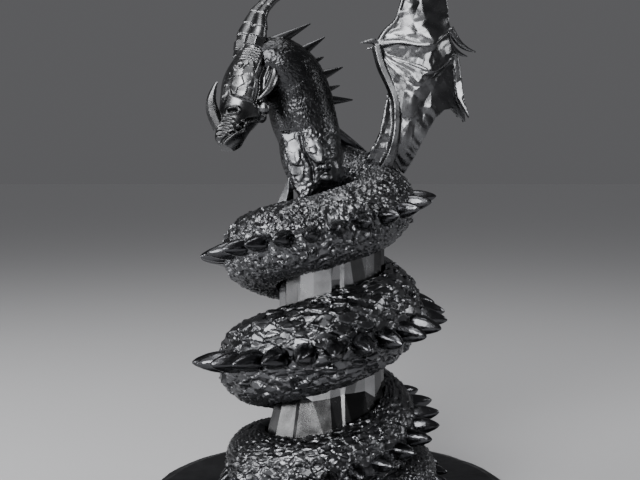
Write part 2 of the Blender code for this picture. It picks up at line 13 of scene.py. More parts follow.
import bpy
import numpy as np
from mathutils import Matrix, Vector


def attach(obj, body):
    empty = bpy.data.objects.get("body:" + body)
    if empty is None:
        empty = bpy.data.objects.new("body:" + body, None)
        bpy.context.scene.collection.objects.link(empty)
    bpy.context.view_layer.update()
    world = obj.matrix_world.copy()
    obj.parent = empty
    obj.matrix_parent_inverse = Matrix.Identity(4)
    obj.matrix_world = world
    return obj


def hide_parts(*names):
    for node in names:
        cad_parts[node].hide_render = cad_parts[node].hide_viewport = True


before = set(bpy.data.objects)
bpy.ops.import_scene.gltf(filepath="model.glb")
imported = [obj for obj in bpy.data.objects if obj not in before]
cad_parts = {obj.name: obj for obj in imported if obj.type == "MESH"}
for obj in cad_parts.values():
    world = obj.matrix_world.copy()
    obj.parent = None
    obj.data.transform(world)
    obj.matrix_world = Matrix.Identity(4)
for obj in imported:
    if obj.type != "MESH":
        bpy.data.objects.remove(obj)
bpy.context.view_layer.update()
LOG = logging.getLogger("dragon statue")
MM = 0.001
UP = np.array((0.0, 0.0, 1.0))
BACK = np.array((0.0, 1.0, 0.0))
THINNEST_LIMB = 0.35
CHANCE_SCALES = (127.1, 311.7, 74.7, 43758.5453)
CELL_KEY_STEP = 1.7
CELL_LOOSENESS = 0.7
FARTHEST_ROW = 200.0
POLE_GAP = 0.02

Place = tuple[float, float, float]
Line = tuple[Place, ...]
Pairs = tuple[tuple[float, float], ...]
Relief = Callable[[np.ndarray, np.ndarray], np.ndarray]


class Tone(Enum):
    """Metal tones of the statue's castings, as linear base colours."""

    BODY = (0.150, 0.152, 0.160)
    SPIKE = (0.095, 0.096, 0.102)
    HORN = (0.200, 0.202, 0.208)
    SKIN = (0.175, 0.177, 0.184)
    # Painted far lighter than the body's metal, standing in for the light that the column's strips reflect.
    SHAFT_WITH_PAINTED_SHEEN = (0.720, 0.724, 0.736)
    PLINTH = (0.070, 0.071, 0.076)


@dataclass(frozen=True)
class DarkPatch:
    """Darker patch painted on the metal's tone: painted shade on the neck, and a darker muzzle.

    Args:
        middle: Its middle, in millimetres.
        half_sizes: Half its size along X, Y and Z.
        kept: Share of the light that it keeps.
    """

    middle: Place
    half_sizes: Place
    kept: float


class Recipe:
    """Nodes of a metal that is being made."""

    def __init__(self, made: bpy.types.Material) -> None:
        """Start from the material's own shader.

        Args:
            made: The material.
        """
        made.use_nodes = True
        self.nodes = made.node_tree.nodes
        self.links = made.node_tree.links
        self.shader = self.nodes["Principled BSDF"]
        self.place = self.nodes.new("ShaderNodeTexCoord").outputs["Object"]

    def clouds(self, scale: float, detail: float) -> bpy.types.NodeSocket:
        """Add noise over the piece.

        Args:
            scale: Number of clouds in a metre.
            detail: Number of finer layers.

        Returns:
            The noise.
        """
        noise = self.nodes.new("ShaderNodeTexNoise")
        noise.inputs["Scale"].default_value = scale
        noise.inputs["Detail"].default_value = detail
        self.links.new(self.place, noise.inputs["Vector"])
        return noise.outputs["Fac"]

    def ramp(self, value: bpy.types.NodeSocket, stops: Sequence[tuple[float, Place]]) -> bpy.types.NodeSocket:
        """Turn a number into a colour.

        Args:
            value: The number.
            stops: Numbers with their colours, in rising order.

        Returns:
            The colour.
        """
        node = self.nodes.new("ShaderNodeValToRGB")
        elements = node.color_ramp.elements
        for index, (position, color) in ((0, stops[0]), (1, stops[-1])):
            elements[index].position = position
            elements[index].color = (*color, 1.0)
        for position, color in stops[1:-1]:
            elements.new(position).color = (*color, 1.0)
        self.links.new(value, node.inputs["Fac"])
        return node.outputs["Color"]

    def multiply(self, first: bpy.types.NodeSocket, second: bpy.types.NodeSocket,
                 share: float = 1.0) -> bpy.types.NodeSocket:
        """Darken one colour by another.

        Args:
            first: The colour.
            second: What it is multiplied by.
            share: How far it is darkened, from 0 to 1.

        Returns:
            The darker colour.
        """
        mix = self.nodes.new("ShaderNodeMix")
        mix.data_type = "RGBA"
        mix.blend_type = "MULTIPLY"
        mix.inputs["Factor"].default_value = share
        self.links.new(first, mix.inputs[6])
        self.links.new(second, mix.inputs[7])
        return mix.outputs[2]


@dataclass(frozen=True)
class Gunmetal:
    """Patinated cast metal, with painted shade darkening the grooves and the edges worn bright.

    Args:
        name: Name of the material.
        tone: Base colour of the metal.
        smoothest: Roughness of the polished areas.
        roughest: Roughness of the patina.
        grain: Size of the casting's grain, in millimetres.
        edge_wear_and_groove_shade: How far the grooves are darkened with painted shade and the edges
            brightened as worn metal, from 0 to 1.
        dark_patch: Darker patch painted on the tone, or nothing.
        reads_painted_sheen: Whether the faces carry their own shares of the tone, as the attribute "polish":
            painted sheen, brighter on some faces than others.
        shade: Share of the tone in the darkest patina.
        patina_scale: Number of the patina's clouds in a metre.
        patina_stops: Noise where the patina is darkest and where it is lightest.
        groove_shade_and_wear_stops: Pointiness of a groove, a plane and an edge, with the share of the tone
            left at each: painted shade in the grooves, worn brightness on the edges.
        dark_patch_depth: How far inside the patch it is darkest, as a share.
        rub_scale: Number of rubbed spots in a metre.
        rub_range: Noise where the rubbing starts and ends.
        bump: Strength and depth of the casting's grain, the depth in metres.
    """

    name: str
    tone: Tone
    smoothest: float = 0.24
    roughest: float = 0.42
    grain: float = 1.2
    edge_wear_and_groove_shade: float = 0.6
    dark_patch: DarkPatch | None = None
    reads_painted_sheen: bool = False
    shade: float = 0.62
    patina_scale: float = 38.0
    patina_stops: tuple[float, float] = (0.30, 0.68)
    groove_shade_and_wear_stops: Pairs = ((0.44, 0.30), (0.50, 0.72), (0.58, 1.0))
    dark_patch_depth: float = 0.35
    rub_scale: float = 120.0
    rub_range: tuple[float, float] = (0.3, 0.7)
    bump: tuple[float, float] = (0.06, 0.0004)

    def patch(self, recipe: Recipe, dark_patch: DarkPatch) -> bpy.types.NodeSocket:
        """Give the share of light that the darker patch leaves.

        Args:
            recipe: Nodes of the metal.
            dark_patch: The patch.

        Returns:
            The share.
        """
        spot = recipe.nodes.new("ShaderNodeMapping")
        sizes = dark_patch.half_sizes
        spot.inputs["Location"].default_value = tuple(-m / h for m, h in zip(dark_patch.middle, sizes))
        spot.inputs["Scale"].default_value = tuple(1.0 / (MM * h) for h in sizes)
        recipe.links.new(recipe.place, spot.inputs["Vector"])
        ball = recipe.nodes.new("ShaderNodeTexGradient")
        ball.gradient_type = "SPHERICAL"
        recipe.links.new(spot.outputs["Vector"], ball.inputs["Vector"])
        gradient = ball.outputs["Fac"]
        return recipe.ramp(gradient, ((0.0, (1.0,) * 3), (self.dark_patch_depth, (dark_patch.kept,) * 3)))

    def material(self) -> bpy.types.Material:
        """Make the material.

        Returns:
            The Blender material with its nodes.
        """
        made = bpy.data.materials.new(self.name)
        recipe = Recipe(made)
        shader = recipe.shader
        shader.inputs["Metallic"].default_value = 1.0
        dark = tuple(self.shade * part for part in self.tone.value)
        stops = tuple(zip(self.patina_stops, (dark, self.tone.value)))
        patina = recipe.ramp(recipe.clouds(self.patina_scale, 6.0), stops)
        # Painted shade: pointiness darkens the grooves where shade falls, and brightens the worn edges.
        shape = recipe.nodes.new("ShaderNodeNewGeometry")
        levels = [(level, (light,) * 3) for level, light in self.groove_shade_and_wear_stops]
        edges = recipe.ramp(shape.outputs["Pointiness"], levels)
        color = recipe.multiply(patina, edges, self.edge_wear_and_groove_shade)
        # Darker patch painted on the tone, such as the painted shade on the neck.
        if self.dark_patch:
            color = recipe.multiply(color, self.patch(recipe, self.dark_patch))
        # Painted sheen: per-face shares of the tone that brighten some faces more than others.
        if self.reads_painted_sheen:
            painted_sheen = recipe.nodes.new("ShaderNodeAttribute")
            painted_sheen.attribute_name = "painted_sheen"
            color = recipe.multiply(color, painted_sheen.outputs["Fac"])
        recipe.links.new(color, shader.inputs["Base Color"])
        rub = recipe.nodes.new("ShaderNodeMapRange")
        for name, value in zip(("From Min", "From Max", "To Min", "To Max"),
                               (*self.rub_range, self.smoothest, self.roughest)):
            rub.inputs[name].default_value = value
        recipe.links.new(recipe.clouds(self.rub_scale, 4.0), rub.inputs["Value"])
        recipe.links.new(rub.outputs["Result"], shader.inputs["Roughness"])
        bump = recipe.nodes.new("ShaderNodeBump")
        bump.inputs["Strength"].default_value = self.bump[0]
        bump.inputs["Distance"].default_value = self.bump[1]
        recipe.links.new(recipe.clouds(1.0 / (self.grain * MM), 3.0), bump.inputs["Height"])
        recipe.links.new(bump.outputs["Normal"], shader.inputs["Normal"])
        return made


def unit(rows: np.ndarray) -> np.ndarray:
    """Scale rows of vectors to length one.

    Args:
        rows: Vectors in the last axis.

    Returns:
        The unit vectors.
    """
    lengths = np.linalg.norm(rows, axis=-1, keepdims=True)
    return rows / np.maximum(lengths, 1e-9)


def chance(first: np.ndarray, second: float, salt: float) -> np.ndarray:
    """Give a repeatable number from 0 to 1 for each pair of keys.

    Args:
        first: Keys of the cells.
        second: Key of their row.
        salt: Number that tells one use from another.

    Returns:
        One number for each cell.
    """
    first_scale, second_scale, salt_scale, spread = CHANCE_SCALES
    mixed = np.sin(first * first_scale + second * second_scale + salt * salt_scale) * spread
    return mixed - np.floor(mixed)


def ease(low: float, high: float, value: np.ndarray) -> np.ndarray:
    """Rise smoothly from 0 at low to 1 at high.

    Args:
        low: Value where the rise starts.
        high: Value where it ends.
        value: Values to map.

    Returns:
        The eased shares.
    """
    share = np.clip((value - low) / (high - low), 0.0, 1.0)
    return share * share * (3.0 - 2.0 * share)


def ridge(distance: np.ndarray, width: float) -> np.ndarray:
    """Give a soft ridge or groove: 1 on its line and 0 away from it.

    Args:
        distance: Distances from the line.
        width: Distance at which it has fallen to a third.

    Returns:
        The shares.
    """
    return np.exp(-(distance / width) ** 2)


def turns(sides: int) -> np.ndarray:
    """Give the angles of a ring's points, for a number of sides."""
    return np.linspace(0.0, 2.0 * math.pi, sides, endpoint=False)


def curve(a: np.ndarray, b: np.ndarray, c: np.ndarray, d: np.ndarray, share: np.ndarray) -> np.ndarray:
    """Give rows between two stations of a smooth curve.

    Args:
        a: Station before the span.
        b: Station where the span starts.
        c: Station where it ends.
        d: Station after the span.
        share: How far along the span each row is.

    Returns:
        The rows.
    """
    return 0.5 * (2 * b + (c - a) * share + (2 * a - 5 * b + 4 * c - d) * share ** 2
                  + (3 * b - a - 3 * c + d) * share ** 3)


def smooth_rows(stations: Sequence[Sequence[float]], steps: int) -> np.ndarray:
    """Sample a smooth curve through rows of numbers.

    Args:
        stations: The rows that the curve passes through.
        steps: Number of samples in each span between two rows.

    Returns:
        The sampled rows.
    """
    rows = np.array(stations, dtype=float)
    padded = np.vstack((rows[:1], rows, rows[-1:]))
    share = (np.arange(steps) / steps)[:, None]
    sampled = [curve(*padded[index:index + 4], share) for index in range(len(rows) - 1)]
    return np.vstack((*sampled, rows[-1:]))


def sample(rows: np.ndarray, place: np.ndarray) -> np.ndarray:
    """Read rows at places between them.

    Args:
        rows: The rows.
        place: Numbers of the rows to read, with fractions.

    Returns:
        The rows at those places.
    """
    index = np.minimum(place.astype(int), len(rows) - 2)
    part = (place - index).reshape(place.shape + (1,) * (rows.ndim - 1))
    return rows[index] * (1.0 - part) + rows[index + 1] * part


def sweep(middles: np.ndarray, upright: np.ndarray, across: np.ndarray, reach: np.ndarray,
          angle: np.ndarray) -> np.ndarray:
    """Lay rings round a line.

    Args:
        middles: Places on the line.
        upright: Direction of the angle nought at each place.
        across: Direction a quarter turn on.
        reach: Distance of each point from the line.
        angle: Angles of the points of a ring.

    Returns:
        The rings' points.
    """
    return (middles[:, None] + reach[..., None]
            * (upright[:, None] * np.cos(angle)[:, None] + across[:, None] * np.sin(angle)[:, None]))


def line_distance(x: np.ndarray, y: np.ndarray, points: Sequence[Sequence[float]]) -> np.ndarray:
    """Measure how far places are from a broken line.

    Args:
        x: First coordinate of the places.
        y: Second coordinate of the places.
        points: Corners of the line.

    Returns:
        The distances.
    """
    nearest = np.full(np.broadcast(x, y).shape, 1e9)
    for (x0, y0), (x1, y1) in zip(points, points[1:]):
        run = (x1 - x0, y1 - y0)
        length = run[0] ** 2 + run[1] ** 2
        share = np.clip(((x - x0) * run[0] + (y - y0) * run[1]) / length, 0.0, 1.0)
        nearest = np.minimum(nearest, np.hypot(x - x0 - share * run[0], y - y0 - share * run[1]))
    return nearest


def inside_outline(x: np.ndarray, y: np.ndarray, corners: Sequence[Sequence[float]],
                   edge: float) -> np.ndarray:
    """Give 1 inside an outline and 0 outside, with an eased edge.

    Args:
        x: First coordinate of the places.
        y: Second coordinate of the places.
        corners: Corners of the outline.
        edge: Width over which it eases.

    Returns:
        The shares.
    """
    within = np.zeros(np.broadcast(x, y).shape, dtype=bool)
    closed = [*corners, corners[0]]
    for (x0, y0), (x1, y1) in zip(closed, closed[1:]):
        crosses = (y0 > y) != (y1 > y)
        rise = y1 - y0 if abs(y1 - y0) > 1e-9 else 1e-9
        within ^= crosses & (x < (x1 - x0) * (y - y0) / rise + x0)
    reach = line_distance(x, y, closed)
    return ease(-0.5 * edge, 0.5 * edge, np.where(within, reach, -reach))


def facets(x: np.ndarray, y: np.ndarray, size: float, tilt: float, salt: float) -> np.ndarray:
    """Give the height of a surface chiselled into uneven flat planes.

    Args:
        x: First coordinate of the places.
        y: Second coordinate of the places.
        size: Size of a plane.
        tilt: How far planes lean, as a slope.
        salt: Number that tells one surface from another.

    Returns:
        The heights.
    """
    shape = np.broadcast(x, y).shape
    nearest = np.full(shape, 1e9)
    height = np.zeros(shape)
    column = np.floor(x / size)
    row = np.floor(y / size)
    for across in (-1, 0, 1):
        for down in (-1, 0, 1):
            key = column + across
            other = row + down
            row_key = CELL_KEY_STEP * other
            middle_x = (key + 0.5 + CELL_LOOSENESS * (chance(key, row_key, salt) - 0.5)) * size
            middle_y = (other + 0.5 + CELL_LOOSENESS * (chance(key, row_key, salt + 1.0) - 0.5)) * size
            run = x - middle_x
            rise = y - middle_y
            distance = np.hypot(run, rise)
            plane = tilt * (run * (2.0 * chance(key, row_key, salt + 2.0) - 1.0)
                            + rise * (2.0 * chance(key, row_key, salt + 3.0) - 1.0))
            height = np.where(distance < nearest, plane, height)
            nearest = np.minimum(nearest, distance)
    return height


def crumple(x: np.ndarray, y: np.ndarray, size: float, depth: float, salt: float) -> np.ndarray:
    """Give the height of a surface hammered into uneven triangular planes that meet at their edges.

    Args:
        x: First coordinate of the places.
        y: Second coordinate of the places.
        size: Size of a plane.
        depth: Height from the lowest corner to the highest.
        salt: Number that tells one surface from another.

    Returns:
        The heights, even about nought.
    """
    across = (x * math.cos(salt) + y * math.sin(salt)) / size
    down = (y * math.cos(salt) - x * math.sin(salt)) / size
    column = np.floor(across)
    row = np.floor(down)
    run = across - column
    rise = down - row
    corners = {(right, low): chance(column + right, CELL_KEY_STEP * (row + low), salt)
               for right in (0, 1) for low in (0, 1)}
    near = (corners[0, 0] + run * (corners[1, 0] - corners[0, 0]) + rise * (corners[0, 1] - corners[0, 0]))
    far = (corners[1, 1] + (1.0 - run) * (corners[0, 1] - corners[1, 1])
           + (1.0 - rise) * (corners[1, 0] - corners[1, 1]))
    return depth * (np.where(run + rise < 1.0, near, far) - 0.5)


def put(name: str, data: bpy.types.ID) -> bpy.types.Object:
    """Make an object and link it to the scene.

    Args:
        name: Its name.
        data: Its mesh, light or camera.

    Returns:
        The object.
    """
    thing = bpy.data.objects.new(name, data)
    bpy.context.scene.collection.objects.link(thing)
    return thing


def baked_mesh(thing: bpy.types.Object, name: str) -> bpy.types.Mesh:
    """Make a mesh of what an object's modifiers give.

    Args:
        thing: The object.
        name: Name of the new mesh.

    Returns:
        The new mesh.
    """
    bpy.context.view_layer.update()
    shaped = thing.evaluated_get(bpy.context.evaluated_depsgraph_get())
    mesh = bpy.data.meshes.new_from_object(shaped)
    mesh.name = name
    return mesh


def read_points(mesh: bpy.types.Mesh) -> np.ndarray:
    """Read a mesh's points.

    Args:
        mesh: The mesh.

    Returns:
        One row for each point, in metres.
    """
    places = np.empty(len(mesh.vertices) * 3)
    mesh.vertices.foreach_get("co", places)
    return places.reshape(-1, 3)


class Casting:
    """Closed forms gathered for one casting, in millimetres, and fused into one skin."""

    def __init__(self, name: str) -> None:
        """Start an empty casting.

        Args:
            name: Name of the piece.
        """
        self.name = name
        self.points: list[np.ndarray] = []
        self.faces: list[list[int]] = []
        self.count = 0

    def add(self, points: np.ndarray, faces: list[list[int]]) -> None:
        """Add one closed form.

        Args:
            points: Its points.
            faces: Its faces, as indices into the points.
        """
        self.points.append(points)
        start = self.count
        self.faces.extend([[start + corner for corner in face] for face in faces])
        self.count += len(points)

    def add_rings(self, rings: np.ndarray) -> None:
        """Close a row of equal rings into one form.

        Args:
            rings: Points as rows of rings.
        """
        count, sides = rings.shape[:2]
        corner = np.arange(count * sides).reshape(count, sides)
        around = np.roll(corner, -1, axis=1)
        quads = np.stack((corner[:-1], around[:-1], around[1:], corner[1:]), axis=-1).reshape(-1, 4)
        faces = quads.tolist()
        faces.append(corner[0][::-1].tolist())
        faces.append(corner[-1].tolist())
        self.add(rings.reshape(-1, 3), faces)

    def add_limb(self, points: Sequence[Sequence[float]], radii: Sequence[float], sides: int = 14,
                 steps: int = 8, relief: Relief | None = None) -> None:
        """Add a tapering limb along a smooth line.

        Args:
            points: Places that the middle line passes through.
            radii: Radius at each place.
            sides: Number of sides.
            steps: Number of rings between two places.
            relief: Height of the carving for a share of the length and an angle, or nothing.
        """
        stations = [(*point, radius) for point, radius in zip(points, radii)]
        rows = smooth_rows(stations, steps)
        middles = rows[:, :3]
        radius = np.maximum(rows[:, 3], THINNEST_LIMB)
        along = unit(np.gradient(middles, axis=0))
        across = unit(np.cross(along, BACK))
        upright = unit(np.cross(across, along))
        angle = turns(sides)
        reach = np.repeat(radius[:, None], sides, axis=1)
        if relief:
            share = np.linspace(0.0, 1.0, len(rows))
            reach = reach + relief(share[:, None], angle[None, :])
        self.add_rings(sweep(middles, upright, across, reach, angle))

    def add_lump(self, middle: Sequence[float], half_sizes: Sequence[float], rows: int = 16,
                 chisel: float = 0.0) -> None:
        """Add an egg-shaped form.

        Args:
            middle: Its middle.
            half_sizes: Half its size along X, Y and Z.
            rows: Number of rings from pole to pole.
            chisel: How uneven its planes are, as a share of its size.
        """
        rise = np.linspace(POLE_GAP, math.pi - POLE_GAP, rows)
        turn = turns(2 * rows)
        rings = np.stack((np.sin(rise)[:, None] * np.cos(turn), np.sin(rise)[:, None] * np.sin(turn),
                          np.repeat(np.cos(rise)[:, None], len(turn), axis=1)), axis=-1)
        key = np.arange(rings.shape[1])[None, :]
        uneven = 1.0 + chisel * (chance(key, 1.0 * np.arange(rows)[:, None], middle[2]) - 0.5)
        self.add_rings(rings * uneven[..., None] * np.array(half_sizes) + np.array(middle))

    def add_sheet(self, grid: np.ndarray, thickness: float) -> None:
        """Thicken a grid of points into a closed sheet.

        Args:
            grid: Rows of points.
            thickness: Thickness of the sheet.
        """
        down = np.gradient(grid, axis=0)
        over = np.gradient(grid, axis=1)
        normal = unit(np.cross(down, over))
        rows, columns = grid.shape[:2]
        front = (grid + normal * (0.5 * thickness)).reshape(-1, 3)
        back = (grid - normal * (0.5 * thickness)).reshape(-1, 3)
        corner = np.arange(rows * columns).reshape(rows, columns)
        quads = np.stack((corner[:-1, :-1], corner[:-1, 1:], corner[1:, 1:], corner[1:, :-1]), axis=-1)
        quads = quads.reshape(-1, 4)
        faces = quads.tolist() + (quads[:, ::-1] + rows * columns).tolist()
        border = corner[0, :-1].tolist() + corner[:-1, -1].tolist()
        border += corner[-1, :0:-1].tolist() + corner[:0:-1, 0].tolist()
        for here, there in zip(border, border[1:] + border[:1]):
            faces.append([there, here, here + rows * columns, there + rows * columns])
        self.add(np.vstack((front, back)), faces)

    def raw(self, name: str) -> bpy.types.Object:
        """Make an object of the forms as they are.

        Args:
            name: Name of the object.

        Returns:
            The object.
        """
        mesh = bpy.data.meshes.new(self.name)
        mesh.from_pydata((np.vstack(self.points) * MM).tolist(), [], self.faces)
        mesh.update()
        return put(name, mesh)

    def split(self) -> bpy.types.Object:
        """Make an object of the forms, with their faces split into flat triangles.

        Returns:
            The finished object.
        """
        piece = self.raw(self.name)
        triangles = piece.modifiers.new("split", "TRIANGULATE")
        triangles.quad_method = "SHORTEST_DIAGONAL"
        mesh = baked_mesh(piece, piece.name)
        piece.modifiers.clear()
        piece.data = mesh
        return piece

    def fuse(self, grain: float, triangles: int,
             seat: Callable[[np.ndarray], np.ndarray] | None = None) -> bpy.types.Object:
        """Fuse the forms into one skin and thin it to flat facets.

        Args:
            grain: Size of the voxels, in millimetres.
            triangles: Number of triangles to keep.
            seat: Moves points clear of what the casting sits on, or nothing.

        Returns:
            The finished object.
        """
        raw = self.raw(self.name + "_raw")
        mesh = raw.data
        join = raw.modifiers.new("join", "REMESH")
        join.mode = "VOXEL"
        join.voxel_size = grain * MM
        fused = baked_mesh(raw, self.name)
        raw.modifiers.remove(join)
        raw.data = fused
        faces = sum(len(polygon.vertices) - 2 for polygon in fused.polygons)
        thin = raw.modifiers.new("thin", "DECIMATE")
        thin.ratio = min(1.0, triangles / max(faces, 1))
        thin.use_collapse_triangulate = True
        finished = baked_mesh(raw, self.name)
        bpy.data.objects.remove(raw)
        bpy.data.meshes.remove(mesh)
        bpy.data.meshes.remove(fused)
        if seat:
            places = read_points(finished)
            finished.vertices.foreach_set("co", (seat(places / MM) * MM).ravel())
            finished.update()
        made = put(self.name, finished)
        LOG.info("%s: %d faces before thinning, %d after", self.name, faces, len(finished.polygons))
        return made


@dataclass(frozen=True)
class Plate:
    """Proud plate that faces the front.

    Args:
        outline: Its corners as places across and up.
        depth: Place of its middle from front to back.
        slopes: How fast it runs back across and up.
        dome: How far its middle swells.
        planes: Size and slope of its chiselled planes.
        thickness: How deep it goes.
        edge_steps: Number of points along each edge.
        face_rings: Number of rings on its face.
        face_shares: Reach of the first and the last ring on its face.
        rim_shares: Reach of the rings of its rim.
        rim_drops: How far back the rim's rings lie, but for the last.
    """

    outline: Pairs
    depth: float
    slopes: tuple[float, float]
    dome: float
    planes: tuple[float, float]
    thickness: float
    edge_steps: int = 14
    face_rings: int = 16
    face_shares: tuple[float, float] = (0.03, 0.86)
    rim_shares: tuple[float, ...] = (0.93, 0.98, 1.0, 1.0)
    rim_drops: Place = (0.25, 0.9, 2.2)

    def rings(self) -> np.ndarray:
        """Give the plate's points.

        Returns:
            Its points as rows of rings.
        """
        corners = np.array([*self.outline, self.outline[0]])
        middle = corners[:-1].mean(axis=0)
        edge = np.vstack([np.linspace(a, b, self.edge_steps, endpoint=False)
                          for a, b in zip(corners, corners[1:])])
        shares = np.concatenate((np.linspace(*self.face_shares, self.face_rings), self.rim_shares))
        drop = np.concatenate((np.zeros(self.face_rings), (*self.rim_drops, self.thickness)))
        spread = middle + (edge - middle) * shares[:, None, None]
        x = spread[..., 0]
        z = spread[..., 1]
        front = self.depth + self.slopes[0] * (x - middle[0]) + self.slopes[1] * (z - middle[1])
        front = front - self.dome * (1.0 - shares[:, None] ** 2) - facets(x, z, *self.planes, self.depth)
        return np.stack((x, front + drop[:, None], z), axis=-1)


def dress(piece: bpy.types.Object, finish: Gunmetal) -> None:
    """Give a piece its finish and make it ride on the statue.

    Args:
        piece: The piece.
        finish: Its metal.
    """
    piece.data.materials.clear()
    piece.data.materials.append(finish.material())
    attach(piece, "root")
    LOG.info("%s dressed in %s", piece.name, finish.name)


@dataclass
class Plinth:
    """Low round base, faintly faceted like the rest of the casting."""

    radius: float = 133.0
    height: float = 17.0
    edge_drop: float = 5.0
    edge_run: float = 11.0
    sides: int = 60
    unevenness: float = 0.5
    sway: float = 0.5
    middle: float = 0.5
    foot_cut: float = 1.0
    ring_shares: Place = (0.35, 0.62, 0.82)

    def build(self) -> bpy.types.Object:
        """Build the base.

        Returns:
            The base's object.
        """
        edge = self.radius - self.edge_run
        profile = (
            (self.middle, self.height, 0.0, 0.0),
            *((share * self.radius, self.height, 0.0, 1.0) for share in self.ring_shares),
            (edge, self.height, 1.0, 1.0),
            (self.radius - 0.3 * self.edge_run, self.height - 0.4 * self.edge_drop, 1.0, 1.0),
            (self.radius, self.height - self.edge_drop, 1.0, 1.0),
            (self.radius, 0.5 * self.height - self.foot_cut, 1.0, 0.0),
            (self.radius, self.foot_cut, 1.0, 0.0),
            (self.radius - self.foot_cut, 0.0, 0.0, 0.0),
            (self.middle, 0.0, 0.0, 0.0),
        )
        casting = Casting("statue_base")
        key = np.arange(self.sides)
        turn = turns(self.sides)
        rings = []
        for index, (reach, height, inward, downward) in enumerate(profile):
            sway = turn + (chance(key, index, 1.0) - 0.5) * self.sway * 2.0 * math.pi / self.sides
            dip = chance(key, index, 2.0) * self.unevenness
            wide = reach - dip * inward
            ring = (wide * np.cos(sway), wide * np.sin(sway), height - dip * downward)
            rings.append(np.stack(ring, axis=-1))
        casting.add_rings(np.array(rings)[::-1])
        piece = casting.split()
        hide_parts("base")
        dress(piece, Gunmetal("base gunmetal", Tone.PLINTH, 0.34, 0.52, 1.6, 0.4))
        return piece


@dataclass
class Column:
    """Shaft with long uneven flutes and a conical foot."""

    radius: float = 38.0
    top: float = 212.0
    bottom: float = 17.3
    foot_radius: float = 59.0
    foot_middle_radius: float = 50.0
    foot_middle: float = 49.0
    foot_top: float = 93.0
    strips: int = 30
    sway: float = 0.8
    dent: float = 4.0
    foot_dent: float = 4.5
    # Least share of the bright tone that a strip keeps; the random shares paint sheen on the strips for the
    # light they reflect. The foot keeps foot_share of it, so it is darker.
    dimmest_sheen: float = 0.22
    foot_share: float = 0.36
    marks: tuple[float, float] = (130.0, 168.0)
    lean: float = 0.25
    foot_lean: float = 0.6
    unevenness: float = 9.0
    dent_shares: Place = (0.40, 0.40, 0.20)
    sheen_bias: float = 1.5

    def reach(self, height: np.ndarray) -> np.ndarray:
        """Give the column's radius at a height.

        Args:
            height: Heights above the table.

        Returns:
            The radius at each.
        """
        heights = (self.bottom, self.foot_middle, self.foot_top, self.top)
        radii = (self.foot_radius, self.foot_middle_radius, self.radius, self.radius)
        return np.interp(height, heights, radii)

    def clear(self, points: np.ndarray, gap: float) -> np.ndarray:
        """Move points that are inside the column out to its face or its top.

        Args:
            points: Points in millimetres.
            gap: Room to keep.

        Returns:
            The points, clear of the column.
        """
        moved = points.copy()
        flat = np.linalg.norm(moved[:, :2], axis=1)
        wall = self.reach(moved[:, 2]) + gap
        depth = wall - flat
        over = self.top + gap - moved[:, 2]
        inside = (depth > 0.0) & (over > 0.0)
        upward = inside & (over < depth)
        outward = inside & ~upward
        moved[upward, 2] = self.top + gap
        stretch = wall[outward] / np.maximum(flat[outward], 0.05)
        moved[outward, :2] *= stretch[:, None]
        return moved

    def build(self) -> bpy.types.Object:
        """Build the column.

        Returns:
            The column's object.
        """
        casting = Casting("statue_column")
        key = np.arange(self.strips)
        pitch = 2.0 * math.pi / self.strips
        turn = key * pitch + (chance(key, 0.0, 3.0) - 0.5) * self.sway * pitch
        heights = [self.bottom, self.foot_middle, self.foot_top, *self.marks, self.top]
        rings = []
        for index, height in enumerate(heights):
            edge = index in (0, len(heights) - 1)
            low = height < self.foot_top
            most = self.foot_lean if low else self.lean
            lean = 0.0 if edge else (chance(key, index, 4.0) - 0.5) * most * pitch
            level = height + (0.0 if edge else (chance(key, index, 5.0) - 0.5) * self.unevenness)
            fluted, by_strip, by_ring = self.dent_shares
            dent = fluted * (key % 2) + by_strip * chance(key, 0.0, 6.0) + by_ring * chance(key, index, 7.0)
            deepest = self.foot_dent if low else self.dent
            reach = self.reach(np.broadcast_to(level, key.shape)) - deepest * dent
            rings.append(np.stack((reach * np.cos(turn + lean), reach * np.sin(turn + lean),
                                   np.broadcast_to(level, key.shape)), axis=-1))
        casting.add_rings(np.array(rings))
        piece = casting.split()
        middles = np.empty(3 * len(piece.data.polygons))
        piece.data.polygons.foreach_get("center", middles)
        middles = middles.reshape(-1, 3)
        side = np.floor(np.arctan2(middles[:, 1], middles[:, 0]) / pitch)
        # Painted sheen: each strip gets a random share of the bright tone, standing in for the light it
        # reflects, and the foot's faces are darker.
        painted_sheen = piece.data.attributes.new("painted_sheen", "FLOAT", "FACE")
        shares = self.dimmest_sheen + (1.0 - self.dimmest_sheen) * chance(side, 1.0, 8.0) ** self.sheen_bias
        shares *= np.where(middles[:, 2] < self.foot_top * MM, self.foot_share, 1.0)
        painted_sheen.data.foreach_set("value", shares)
        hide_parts("column")
        dress(piece, Gunmetal("column gunmetal", Tone.SHAFT_WITH_PAINTED_SHEEN, 0.16, 0.30, 1.6, 0.4, reads_painted_sheen=True))
        return piece


@dataclass(frozen=True)
class ScaleRow:
    """One row of scales along the body: where it runs, how long its scales are, and its first one."""

    middle: float
    size: float
    gap: float
    start: float


